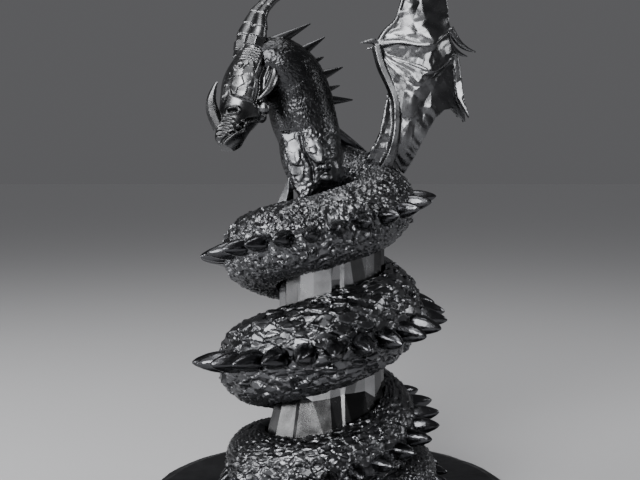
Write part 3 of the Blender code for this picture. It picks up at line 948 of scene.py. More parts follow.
@dataclass
class Scales:
    """Carving of the hide: tilted plates with grooves, in lengths of a body of a nominal radius."""

    nominal_radius: float = 27.0
    groove: float = 0.80
    groove_width: float = 0.48
    lift: float = 0.45
    lap: float = 0.12
    tilt: float = 0.46
    broad_chip: float = 5.6
    broad_chip_tilt: float = 0.44
    long_chip: float = 2.6
    long_chip_tilt: float = 0.30
    long_chip_squeeze: float = 0.42
    rib_pitch: float = 8.0
    rib_height: float = 1.3
    belly: tuple[float, float] = (122.0, 132.0)
    outer: tuple[float, float] = (18.0, 30.0)
    cell_sway: float = 0.34
    level_sway: float = 0.5
    squeeze: float = 1.72
    flatness: float = 1.15
    rounding: float = 2.4
    shrink_power: float = 0.7
    upper: list[ScaleRow] = field(default_factory=list)
    lower: list[ScaleRow] = field(default_factory=list)

    def __post_init__(self) -> None:
        """Lay out the rows on both sides of the spikes."""
        self.upper = self.rows_of((10.4, 9.4), (5.8, 2.5), 22.0, 40.0)
        self.lower = self.rows_of((9.2, 4.2), (5.2, 2.5), 9.0, 28.0)

    @staticmethod
    def rows_of(lengths: tuple[float, float], widths: tuple[float, float], even_to: float,
                small_from: float) -> list[ScaleRow]:
        """Lay out the rows of one side.

        Args:
            lengths: Scale length beside the spikes and on the far rows.
            widths: Width of a row beside the spikes and of the far ones.
            even_to: How far round the body they stay that large.
            small_from: Where they reach the smallest size.

        Returns:
            The rows, from the spikes outward.
        """
        rows = []
        place = 0.0
        index = 0
        while place < FARTHEST_ROW:
            size = float(np.interp(place, (even_to, small_from), lengths))
            gap = float(np.interp(place, (even_to, small_from), widths))
            rows.append(ScaleRow(place, size, gap, 0.5 * size * (index % 2)))
            place += gap
            index += 1
        return rows

    def side_height(self, length: np.ndarray, round_length: np.ndarray, rows: list[ScaleRow],
                    salt: float) -> np.ndarray:
        """Give the carving's height on one side of the spikes.

        Args:
            length: Distance along the body.
            round_length: Distance round the body from the spikes.
            rows: The side's rows.
            salt: Number that tells the sides apart.

        Returns:
            The heights.
        """
        middles = np.array([row.middle for row in rows])
        nearest = np.clip(np.searchsorted(middles, round_length), 1, len(rows) - 1)
        nearest = nearest - ((round_length - middles[nearest - 1]) < (middles[nearest] - round_length))
        best = np.full(length.shape, 1e9)
        second = np.full(length.shape, 1e9)
        height = np.zeros(length.shape)
        for offset in (-2, -1, 0, 1, 2):
            index = np.clip(nearest + offset, 0, len(rows) - 1)
            size = np.array([row.size for row in rows])[index]
            gap = np.array([row.gap for row in rows])[index]
            start = np.array([row.start for row in rows])[index]
            cell_row = np.floor((length - start) / size)
            for step in (-1, 0, 1):
                cell = cell_row + step
                first = chance(cell, index, salt)
                middle = start + (cell + 0.5 + self.cell_sway * (first - 0.5)) * size
                level = middles[index] + self.level_sway * (chance(cell, index, salt + 1.0) - 0.5) * gap
                run = length - middle
                rise = round_length - level
                squeezed = self.squeeze * run * gap / size
                blocky = np.abs(squeezed) + self.flatness * np.abs(rise)
                distance = 0.5 * blocky + 0.5 * np.hypot(squeezed, rise)
                plane = (self.lift * (2.0 * chance(cell, index, salt + 2.0) - 1.0)
                         + run * (self.tilt * (chance(cell, index, salt + 3.0) - 0.5) - self.lap)
                         + rise * self.tilt * (chance(cell, index, salt + 4.0) - 0.5)
                         + rise * rise / (self.rounding * self.nominal_radius))
                closer = distance < best
                second = np.where(closer, best, np.minimum(second, distance))
                height = np.where(closer, plane, height)
                best = np.where(closer, distance, best)
        border = 0.5 * (second - best)
        return height - self.groove * ridge(border, self.groove_width)

    def height(self, length: np.ndarray, angle: np.ndarray, fineness: np.ndarray,
               ribbed: np.ndarray) -> np.ndarray:
        """Give the carving's height over a grid of the body.

        Args:
            length: Distance along the body at each ring.
            angle: Angle from the spikes, positive on the lower side.
            fineness: How much smaller the scales are, at each ring.
            ribbed: Share of the belly's ribs, at each ring.

        Returns:
            The height for each ring and angle.
        """
        along = np.repeat((length / fineness)[:, None], len(angle), axis=1)
        wrapped = (angle + math.pi) % (2.0 * math.pi) - math.pi
        around = np.abs(wrapped)[None, :] * self.nominal_radius / fineness[:, None]
        lower = self.side_height(along, around, self.lower, 11.0)
        upper = self.side_height(along, around, self.upper, 31.0)
        smaller = fineness[:, None] ** self.shrink_power
        plates = np.where(wrapped[None, :] > 0.0, lower, upper) * smaller
        signed = np.sign(wrapped)[None, :] * around
        outer = ease(*self.outer, around)
        broad = facets(along, signed, self.broad_chip, self.broad_chip_tilt, 71.0)
        long = facets(along * self.long_chip_squeeze, signed, self.long_chip, self.long_chip_tilt, 81.0)
        plates += (broad * (1.0 - outer) + long * outer) * smaller
        step = along * fineness[:, None] / self.rib_pitch
        saw = step - np.floor(step)
        ribs = self.rib_height * (0.5 - saw)
        first, last = (math.radians(degrees) for degrees in self.belly)
        belly = ease(first, last, np.abs(wrapped))[None, :] * ribbed[:, None]
        return plates * (1.0 - belly) + ribs * belly


@dataclass
class Winding:
    """Line that the body follows round the column, tail first."""

    column_radius: float = 38.0
    shift_x: float = -8.0
    level: float = 17.3
    degrees_per_ring: float = 0.9
    stations: tuple[tuple[float, float, float, float, float], ...] = (
        (-1160.0, 44.0, 2.5, 2.0, -25.0),
        (-1120.0, 41.0, 6.0, 5.8, -25.0),
        (-1080.0, 37.0, 10.5, 10.0, -20.0),
        (-1035.0, 32.5, 14.5, 14.0, -10.0),
        (-990.0, 27.0, 17.5, 16.5, -10.0),
        (-900.0, 17.0, 20.5, 19.0, -25.0),
        (-810.0, 8.0, 24.0, 20.5, -36.0),
        (-765.0, 7.5, 24.5, 23.0, -18.0),
        (-720.0, 7.5, 28.0, 24.5, 4.0),
        (-630.0, 5.0, 49.5, 26.5, 9.0),
        (-540.0, 3.5, 71.0, 28.5, 4.0),
        (-450.0, 3.0, 91.5, 30.0, 2.0),
        (-360.0, 2.6, 112.0, 31.0, 2.0),
        (-270.0, 3.0, 131.5, 30.0, -5.0),
        (-180.0, 3.5, 151.0, 28.0, -5.0),
        (-90.0, 4.0, 169.5, 26.0, -5.0),
        (0.0, 4.7, 186.6, 24.5, 3.0),
        (45.0, 4.7, 196.0, 24.5, 7.0),
        (85.0, 4.2, 205.0, 24.2, 8.0),
    )

    def rows(self, degrees: np.ndarray | None = None) -> np.ndarray:
        """Give the body's middle, back direction and radius.

        Args:
            degrees: Angles of the rows, or nothing for even steps over the whole winding.

        Returns:
            Rows of seven numbers.
        """
        if degrees is None:
            first = self.stations[0][0]
            last = self.stations[-1][0]
            degrees = np.linspace(first, last, round((last - first) / self.degrees_per_ring))
        rows = np.array(self.stations)
        padded = np.vstack((rows[:1], rows, rows[-1:]))
        span = np.clip(np.searchsorted(rows[:, 0], degrees, side="right") - 1, 0, len(rows) - 2)
        share = ((degrees - rows[span, 0]) / (rows[span + 1, 0] - rows[span, 0]))[:, None]
        values = curve(*(padded[span + step, 1:] for step in range(4)), share)
        turn = np.radians(degrees)
        outward = np.stack((np.sin(turn), -np.cos(turn), np.zeros_like(turn)), axis=-1)
        middle = outward * (self.column_radius + values[:, :1])
        middle += np.array((self.shift_x, 0.0, self.level)) + UP * values[:, 1:2]
        tilt = np.radians(values[:, 3:4])
        back = outward * np.cos(tilt) + UP * np.sin(tilt)
        return np.hstack((middle, back, values[:, 2:3]))


@dataclass
class Trunk:
    """Coiled body with its shoulders, chest, neck, spikes and spines."""

    winding: Winding
    column: Column
    scales: Scales
    sides: int = 220
    upper_steps: int = 30
    seat_gap: float = 0.45
    floor_level: float = 17.4
    grain: float = 0.52
    shares: tuple[tuple[str, float, float, int], ...] = (
        ("dragon_low_coils", 0.0, 0.50, 190000),
        ("dragon_high_coils", 0.50, 0.84, 190000),
        ("dragon_neck", 0.84, 1.0, 130000),
    )
    upper: tuple[tuple[float, ...], ...] = (
        (25.0, 24.0, 232.0, 0.7, 0.5, 0.45, 23.5),
        (6.0, 28.0, 241.0, 0.3, 0.6, 0.75, 23.0),
        (-9.0, 16.0, 248.0, 0.3, 0.75, 0.6, 22.5),
        (-14.0, 4.0, 257.0, 0.4, 0.9, 0.2, 21.5),
        (-15.5, 4.0, 269.0, 0.4, 0.9, 0.0, 22.0),
        (-19.5, 4.0, 282.0, 0.45, 0.85, 0.2, 23.0),
        (-22.5, 4.0, 295.0, 0.5, 0.75, 0.3, 23.0),
        (-27.0, 1.0, 307.0, 0.6, 0.55, 0.55, 22.0),
        (-34.0, -4.0, 315.0, 0.4, 0.3, 0.85, 20.0),
        (-43.0, -8.0, 318.0, -0.1, -0.1, 0.95, 17.0),
        (-50.0, -11.0, 317.0, -0.3, -0.1, 0.95, 13.0),
    )
    spike_spacing: float = 14.5
    spike_first: float = 83.0
    spike_last: float = -1140.0
    spike_base_share: float = 0.285
    spike_length_share: float = 0.62
    spike_rake: float = 7.0
    spike_taper: Pairs = (
        (0.0, 0.90), (0.34, 0.86), (0.60, 0.70), (0.80, 0.46), (0.92, 0.27), (1.0, 0.06))
    spike_sink: float = 0.12
    spike_grain: float = 0.55
    spike_triangles: int = 50000
    spines: tuple[tuple[Place, Place, float], ...] = (
        ((-37.0, -6.0, 333.0), (-13.9, -2.0, 345.5), 5.0),
        ((-20.0, 2.0, 327.0), (-4.2, 6.0, 337.5), 4.5),
        ((-13.0, 5.0, 320.0), (-5.0, 8.0, 324.0), 3.2),
        ((-7.0, 9.0, 311.0), (8.5, 13.0, 317.5), 4.6),
        ((-4.0, 11.0, 301.0), (6.5, 16.0, 305.0), 3.2),
        ((-2.0, 13.0, 294.0), (16.0, 18.0, 295.0), 4.6),
        ((2.0, 14.0, 272.0), (26.1, 20.0, 258.0), 5.6),
        ((3.0, 17.0, 262.0), (18.2, 20.0, 255.0), 4.4),
    )
    bump_depth: float = 0.08
    bump_sides: float = 5.0
    # Painted shade on the neck, standing in for the head's shadow and dimming the neck's highlights.
    neck_painted_shadow: DarkPatch = DarkPatch((-26.0, 0.0, 313.0), (58.0, 70.0, 50.0), 0.50)
    rings_per_place: float = 1.3
    thinnest: float = 4.0
    tail_fineness: float = 0.78
    coil_gain: float = 0.22
    shoulder_loss: float = 0.10
    neck_loss: float = 0.44
    neck_calm: float = 0.50
    relief_power: float = 0.6
    spine_middle: tuple[float, float] = (0.35, 0.62)
    spine_tip: float = 0.5
    plate_lift: float = 0.9
    groove_depth: float = 2.4
    groove_width: float = 1.3
    muscles: tuple[tuple[Place, Place], ...] = (
        ((-3.8, -18.5, 247.3), (3.6, 3.6, 3.6)),
        ((-3.4, -17.0, 239.4), (4.4, 4.0, 3.2)),
        ((-3.0, -12.0, 244.0), (9.0, 6.5, 11.0)),
    )
    breast: tuple[tuple[float, float, float, float, float], ...] = (
        (290.0, -19.0, 18.0, 4.0, 15.0),
        (280.0, -17.0, 19.5, 3.0, 17.5),
        (271.0, -15.5, 20.0, 1.0, 19.5),
        (262.0, -15.0, 20.5, 0.0, 20.5),
        (252.0, -14.5, 20.5, -1.0, 19.5),
        (244.0, -14.0, 18.5, -3.0, 17.5),
        (235.0, -15.5, 12.5, -7.0, 13.5),
        (226.0, -17.5, 5.0, -13.0, 8.0),
        (220.0, -17.5, 2.0, -15.0, 4.0),
    )
    near_pectoral: Plate = Plate((
        (-35.0, 271.0), (-29.0, 270.4), (-22.6, 272.8), (-21.6, 261.6), (-20.4, 251.6), (-22.6, 247.4),
        (-27.6, 248.6), (-31.2, 256.2), (-32.4, 264.4)), -18.0, (-0.20, 0.22), 0.6, (8.0, 0.10), 12.0)
    far_pectoral: Plate = Plate((
        (-19.6, 262.6), (-18.6, 266.4), (-14.6, 268.4), (-8.4, 266.6), (-4.6, 260.0), (-3.2, 253.0),
        (-5.4, 248.6), (-9.4, 248.6), (-14.2, 252.6), (-18.0, 257.2)),
        -20.8, (-0.14, 0.24), 2.0, (5.0, 0.16), 10.0)
    belly_plate: Pairs = (
        (-29.4, 249.9), (-19.2, 253.3), (-18.5, 240.4), (-21.2, 236.4), (-26.7, 240.4), (-30.1, 245.9))
    breast_groove: Pairs = (
        (-21.6, 276.0), (-20.3, 265.0), (-18.6, 258.2), (-15.8, 253.4), (-12.6, 246.0), (-12.0, 238.0))
    spur: Line = ((-31.5, -12.0, 221.0), (-29.5, -12.5, 230.0), (-29.0, -12.0, 239.5))
    spur_radii: tuple[float, ...] = (6.0, 3.8, 0.6)

    def clear(self, points: np.ndarray) -> np.ndarray:
        """Keep points off the column and the base.

        Args:
            points: Points in millimetres.

        Returns:
            The moved points.
        """
        flat = points.reshape(-1, 3)
        moved = self.column.clear(flat, self.seat_gap)
        moved[:, 2] = np.maximum(moved[:, 2], self.floor_level)
        return moved.reshape(points.shape)

    def hide_rings(self) -> np.ndarray:
        """Carve the scaled body from the tail's tip to the back of the head.

        Returns:
            Its points as rows of rings.
        """
        wound = self.winding.rows()
        stations = np.vstack((wound[-1:], np.array(self.upper)))
        raised = smooth_rows(stations, self.upper_steps)[1:]
        rows = np.vstack((wound, raised))
        middles = rows[:, :3]
        back = unit(rows[:, 3:6])
        radius = rows[:, 6]
        along = unit(np.gradient(middles, axis=0))
        across = unit(np.cross(along, back))
        upright = unit(np.cross(across, along))
        angle = turns(self.sides)
        steps = np.linalg.norm(np.diff(middles, axis=0), axis=1)
        shrink = np.maximum(radius, self.thinnest) / self.scales.nominal_radius
        length = np.concatenate(((0.0,), np.cumsum(steps / shrink[:-1])))
        place = (np.arange(len(rows)) - len(wound)) * self.winding.degrees_per_ring / self.rings_per_place
        fineness = self.tail_fineness + self.coil_gain * ease(-560.0, -430.0, place)
        fineness -= (self.shoulder_loss * ease(-200.0, 0.0, place)
                     + self.neck_loss * ease(0.0, 80.0, place))
        ribbed = 1.0 - ease(-10.0, 20.0, place)
        calm = 1.0 - self.neck_calm * ease(30.0, 90.0, place)
        strength = calm * shrink ** self.relief_power
        reach = radius[:, None] + self.scales.height(length, angle, fineness, ribbed) * strength[:, None]
        return self.clear(sweep(middles, upright, across, reach, angle))

    def add_spikes(self, casting: Casting) -> None:
        """Add the raked cones along the outside of the coils.

        Args:
            casting: The casting to add to.
        """
        degrees = np.arange(self.spike_first, self.spike_last, -self.spike_spacing)
        rows = self.winding.rows(degrees)
        ahead = self.winding.rows(degrees + 1.0)
        rake = math.radians(self.spike_rake)
        for index, (row, following) in enumerate(zip(rows, ahead)):
            along = unit(following[:3] - row[:3])
            point = row[3:6] * math.cos(rake) - along * math.sin(rake)
            radius = row[6]
            root = row[:3] + row[3:6] * (radius * (1.0 - 2.0 * self.spike_sink))
            length = radius * (self.spike_length_share + 2.0 * self.spike_sink)
            width = radius * self.spike_base_share
            salt = float(index)

            def bumps(share: np.ndarray, angle: np.ndarray, salt: float = salt,
                      width: float = width) -> np.ndarray:
                """Flatten a cone to a few uneven planes.

                Args:
                    share: Shares of its length.
                    angle: Angles round it.
                    salt: Turn of its planes.
                    width: Radius of its root.

                Returns:
                    The heights.
                """
                turned = (angle + salt) * self.bump_sides / (2.0 * math.pi)
                wave = np.abs(turned - np.round(turned)) * 2.0
                return -self.bump_depth * width * (1.0 - share) * (1.0 - wave)

            casting.add_limb([root + point * length * place for place, _ in self.spike_taper],
                             [width * thickness for _, thickness in self.spike_taper], 30, 6, bumps)

    def add_spines(self, casting: Casting) -> None:
        """Add the fan of spines down the back of the neck.

        Args:
            casting: The casting to add to.
        """
        for root, tip, radius in self.spines:
            start = np.array(root)
            end = np.array(tip)
            sunk = start - unit(end - start) * radius
            share, thickness = self.spine_middle
            middle = start * (1.0 - share) + end * share
            casting.add_limb((sunk, middle, end), (radius, radius * thickness, self.spine_tip), 12, 6)

    def add_chest(self, casting: Casting) -> None:
        """Add the breast with its two muscles, the knobs beside them and the spur.

        Args:
            casting: The casting to add to.
        """
        rows = smooth_rows(self.breast, 14)
        angle = turns(150)
        height = rows[:, :1] + 0.0 * angle
        x = rows[:, 1:2] + rows[:, 2:3] * np.cos(angle)
        plate = inside_outline(x, height, self.belly_plate, 1.4)
        groove = line_distance(x, height, self.breast_groove)
        swell = self.plate_lift * plate - self.groove_depth * ridge(groove, self.groove_width)
        planes = facets(x, height, 6.5, 0.22, 41.0) * plate
        planes += facets(x, height, 2.6, 0.30, 51.0) * (1.0 - plate)
        swell += planes
        swell = swell * ease(0.05, 0.35, -np.sin(angle))
        reach = 1.0 + swell / np.maximum(rows[:, 4:5], 6.0)
        rings = np.stack((rows[:, 1:2] + rows[:, 2:3] * np.cos(angle) * reach,
                          rows[:, 3:4] + rows[:, 4:5] * np.sin(angle) * reach, height), axis=-1)
        casting.add_rings(rings)
        for proud in (self.near_pectoral, self.far_pectoral):
            casting.add_rings(proud.rings())
        for middle, half_sizes in self.muscles:
            casting.add_lump(middle, half_sizes, 8, 0.10)
        casting.add_limb(self.spur, self.spur_radii, 4, 4)

    def build(self) -> None:
        """Build the body and its spikes."""
        rings = self.hide_rings()
        for name, start, end, triangles in self.shares:
            casting = Casting(name)
            casting.add_rings(rings[round(start * len(rings)):round(end * len(rings)) + 2])
            if end == 1.0:
                self.add_spines(casting)
                self.add_chest(casting)
            piece = casting.fuse(self.grain, triangles, self.clear)
            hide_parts("dragon")
            finish = Gunmetal(name + " gunmetal", Tone.BODY, 0.22, 0.38, dark_patch=self.neck_painted_shadow)
            dress(piece, finish)
        casting = Casting("dragon_spikes")
        self.add_spikes(casting)
        piece = casting.fuse(self.spike_grain, self.spike_triangles, self.clear)
        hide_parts("dragon")
        dress(piece, Gunmetal("spike gunmetal", Tone.SPIKE, 0.16, 0.28, edge_wear_and_groove_shade=0.3))


@dataclass
class Head:
    """Horned head on its own axis from the skull to the snout, carved alike on both sides."""

    back: Place = (-50.0, -12.0, 315.0)
    snout: Place = (-67.0, -38.0, 263.0)
    top_hint: Place = (-0.93, -0.10, 0.36)
    grain: float = 0.42
    triangles: int = 100000
    sections: tuple[tuple[float, float, float, float], ...] = (
        (-0.20, 9.0, 10.0, 9.0),
        (-0.08, 13.0, 15.0, 11.0),
        (0.05, 15.0, 17.0, 12.5),
        (0.20, 16.0, 18.5, 13.5),
        (0.35, 15.5, 18.5, 13.5),
        (0.50, 13.5, 16.5, 14.0),
        (0.66, 11.0, 14.0, 13.5),
        (0.80, 9.5, 12.0, 10.5),
        (0.92, 9.0, 11.0, 9.0),
        (1.02, 8.0, 9.5, 8.0),
        (1.09, 4.5, 5.0, 4.5),
    )
    mask: Pairs = (
        (6.9, 10.8), (6.3, 3.7), (13.3, 1.2), (22.3, -3.4), (32.9, -5.6), (34.1, 1.2), (33.4, 8.9),
        (29.7, 11.6), (22.5, 12.2), (14.1, 15.5))
    mask_height: float = 1.5
    cheek_groove: Pairs = (
        (-6.0, -3.0), (0.0, -3.9), (13.8, -3.6), (21.5, -6.2), (30.0, -7.0))
    mouth: Pairs = (
        (66.0, 4.6), (63.6, 4.2), (57.6, 0.3), (52.3, -5.0), (49.8, -3.5), (44.7, -6.1), (41.4, -10.1),
        (37.9, -14.7))
    eye: tuple[float, float] = (12.9, 11.7)
    nostril: Pairs = ((42.2, 3.4), (43.6, 6.8))
    horns: tuple[Line, ...] = (
        ((-53.5, -14.0, 322.0), (-50.0, -13.0, 333.9), (-48.3, -13.0, 340.5), (-46.9, -12.0, 349.4),
         (-42.9, -11.0, 355.6), (-36.8, -10.0, 361.1), (-28.1, -8.0, 366.8), (-19.3, -6.0, 370.6)),
        ((-60.5, 0.0, 321.0), (-59.1, 3.0, 336.3), (-56.3, 4.0, 344.7), (-52.9, 5.0, 353.1),
         (-48.1, 6.0, 359.4), (-41.8, 7.0, 365.1), (-32.8, 9.0, 371.0), (-23.8, 11.0, 374.8)),
    )
    horn_radii: tuple[float, ...] = (7.6, 6.6, 5.6, 4.2, 3.3, 2.6, 1.6, 0.7)
    collar_length: float = 6.0
    collar_radius: float = 8.0
    nose_horn: Line = (
        (-73.5, -36.0, 272.0), (-77.8, -36.0, 282.5), (-78.6, -37.0, 290.2), (-76.8, -38.0, 297.0),
        (-74.4, -39.0, 302.0))
    nose_horn_radii: tuple[float, ...] = (4.6, 4.4, 3.4, 2.0, 0.6)
    fin: Line = (
        (-4.0, 8.0, -9.0), (3.0, 9.5, -11.0), (10.1, 10.5, -12.6), (19.8, 11.0, -12.0), (28.7, 10.0, -8.0))
    fin_radii: tuple[float, ...] = (0.7, 2.0, 3.0, 2.6, 0.8)
    lobe: Place = (32.0, 6.5, -13.4)
    lobe_radius: float = 4.6
    eye_side: float = 12.4
    eye_radius: float = 1.6
    teeth: int = 4
    first_tooth: Place = (47.0, 8.4, -3.0)
    tooth_step: tuple[float, float] = (4.2, 1.8)
    tooth_reach: Place = (0.6, 8.9, 3.2)
    tooth_radii: Place = (1.0, 0.7, 0.4)
    # Darker patch painted over the muzzle.
    muzzle_darkening: DarkPatch = DarkPatch((-66.0, -44.0, 274.0), (22.0, 30.0, 16.0), 0.55)

    def axes(self) -> tuple[np.ndarray, np.ndarray, np.ndarray]:
        """Give the head's forward, sideways and top directions.

        Returns:
            The three unit vectors.
        """
        forward = unit(np.array(self.snout) - np.array(self.back))
        sideways = unit(np.cross(np.array(self.top_hint), forward))
        return forward, sideways, unit(np.cross(forward, sideways))

    def spot(self, along: float, side: float, rise: float) -> np.ndarray:
        """Give a place in the head.

        Args:
            along: Millimetres from the skull towards the snout.
            side: Millimetres towards the near side.
            rise: Millimetres towards the top of the head.

        Returns:
            The place.
        """
        forward, sideways, top = self.axes()
        return np.array(self.back) + forward * along + sideways * side + top * rise

    def carving(self, along: np.ndarray, rise: np.ndarray) -> np.ndarray:
        """Give how far the sides of the head are carved out or raised.

        Args:
            along: Millimetres from the skull towards the snout.
            rise: Millimetres towards the top.

        Returns:
            The heights.
        """
        mask = inside_outline(along, rise, self.mask, 0.9)
        height = self.mask_height * mask + facets(along, rise, 6.6, 0.22, 5.0) * mask
        socket = np.hypot(along - self.eye[0], rise - self.eye[1])
        height += -1.9 * ridge(socket, 2.7) + 0.9 * ridge(socket - 3.2, 0.7)
        height -= 5.5 * ridge(line_distance(along, rise, self.cheek_groove), 2.3)
        height -= 2.6 * ridge(line_distance(along, rise, self.mouth), 0.85)
        lip = line_distance(along, rise, [(x + 1.4, y - 1.9) for x, y in self.mouth])
        height += 2.6 * ridge(lip, 1.8)
        pit = line_distance(along, rise, self.nostril)
        height += 1.2 * ridge(pit - 2.0, 0.8) - 2.6 * ridge(pit, 1.1)
        temple = ease(-14.0, -11.0, along) * (1.0 - ease(5.5, 7.5, along))
        temple = temple * ease(1.0, 3.0, rise) * (1.0 - ease(11.5, 14.0, rise))
        height += 0.9 * np.sin((along + 0.25 * rise) * 2.0 * math.pi / 2.5) * temple
        tip = ease(46.0, 48.0, along) * ease(1.5, 4.0, rise)
        height += 0.6 * np.sin(along * 2.0 * math.pi / 3.4) * tip
        step = ease(30.0, 34.0, along) * (1.0 - ease(1.0, 6.0, -rise - 7.0))
        height -= 0.7 * step
        brow = ease(13.0, 14.5, rise) * ease(-6.0, -2.0, along) * (1.0 - ease(38.0, 42.0, along))
        height += facets(along, 1.4 * rise, 3.0, 0.35, 9.0) * brow
        return height

    def add_skull(self, casting: Casting) -> None:
        """Add the skull and snout.

        Args:
            casting: The casting to add to.
        """
        rows = smooth_rows(self.sections, 18)
        forward, sideways, top = self.axes()
        length = np.linalg.norm(np.array(self.snout) - np.array(self.back))
        angle = turns(200)
        rise = np.cos(angle)[None, :]
        tall = np.where(rise > 0.0, rows[:, 2:3], rows[:, 3:4]) * rise
        wide = rows[:, 1:2] * np.sin(angle)
        along = rows[:, :1] * length
        push = self.carving(along, tall) * np.clip(2.2 * np.abs(np.sin(angle)), 0.0, 1.0)
        wide = wide + np.sign(wide) * push
        wide = np.sign(np.sin(angle)) * np.maximum(np.abs(wide), 0.15)
        middles = np.array(self.back) + forward * along
        casting.add_rings(middles[:, None] + top * tall[..., None] + sideways * wide[..., None])

    def add_horns(self, casting: Casting) -> None:
        """Add the plated horns with their collars, and the nose horn.

        Args:
            casting: The casting to add to.
        """
        def plates(share: np.ndarray, angle: np.ndarray) -> np.ndarray:
            """Carve overlapping plates up a horn.

            Args:
                share: Shares of its length.
                angle: Angles round it.

            Returns:
                The heights.
            """
            step = share * 7.0 + 0.10 * np.cos(angle)
            saw = step - np.floor(step)
            keel = np.abs(np.sin(1.5 * angle + 0.6))
            return (0.9 * (0.5 - saw) - 0.7 * keel) * (1.0 - share)

        for line in self.horns:
            casting.add_limb(line, self.horn_radii, 36, 20, plates)
            start = np.array(line[0])
            rise = unit(np.array(line[1]) - start)
            foot = start + rise * self.collar_length
            casting.add_limb((foot, foot + 0.5 * rise * self.collar_length, foot + rise * self.collar_length),
                             (self.collar_radius,) * 3, 8, 2)
        casting.add_limb(self.nose_horn, self.nose_horn_radii, 7, 6)

    def add_features(self, casting: Casting) -> None:
        """Add the cheek fins, cheek lobes, eyeballs and teeth.

        Args:
            casting: The casting to add to.
        """
        for side in (1.0, -1.0):
            line = [self.spot(along, side * reach, rise) for along, reach, rise in self.fin]
            casting.add_limb(line, self.fin_radii, 9, 5)
            casting.add_lump(self.spot(self.lobe[0], side * self.lobe[1], self.lobe[2]),
                             (self.lobe_radius,) * 3, 7)
            eyeball = self.spot(self.eye[0], side * self.eye_side, self.eye[1])
            casting.add_lump(eyeball, (self.eye_radius,) * 3, 12)
            for tooth in range(self.teeth):
                along = self.first_tooth[0] + self.tooth_step[0] * tooth
                rise = self.first_tooth[2] + self.tooth_step[1] * tooth
                onward, reach, drop = self.tooth_reach
                root = self.spot(along, side * self.first_tooth[1], rise)
                tip = self.spot(along + onward, side * reach, rise - drop)
                casting.add_limb((root, 0.5 * (root + tip), tip), self.tooth_radii, 6, 3)

    def build(self) -> bpy.types.Object:
        """Build the head.

        Returns:
            The head's object.
        """
        casting = Casting("dragon_head")
        self.add_skull(casting)
        self.add_horns(casting)
        self.add_features(casting)
        piece = casting.fuse(self.grain, self.triangles)
        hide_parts("dragon")
        finish = Gunmetal("head gunmetal", Tone.HORN, 0.20, 0.36, dark_patch=self.muzzle_darkening)
        dress(piece, finish)
        return piece


class Side(Enum):
    """Which of the two wings."""

    NEAR = "near"
    FAR = "far"


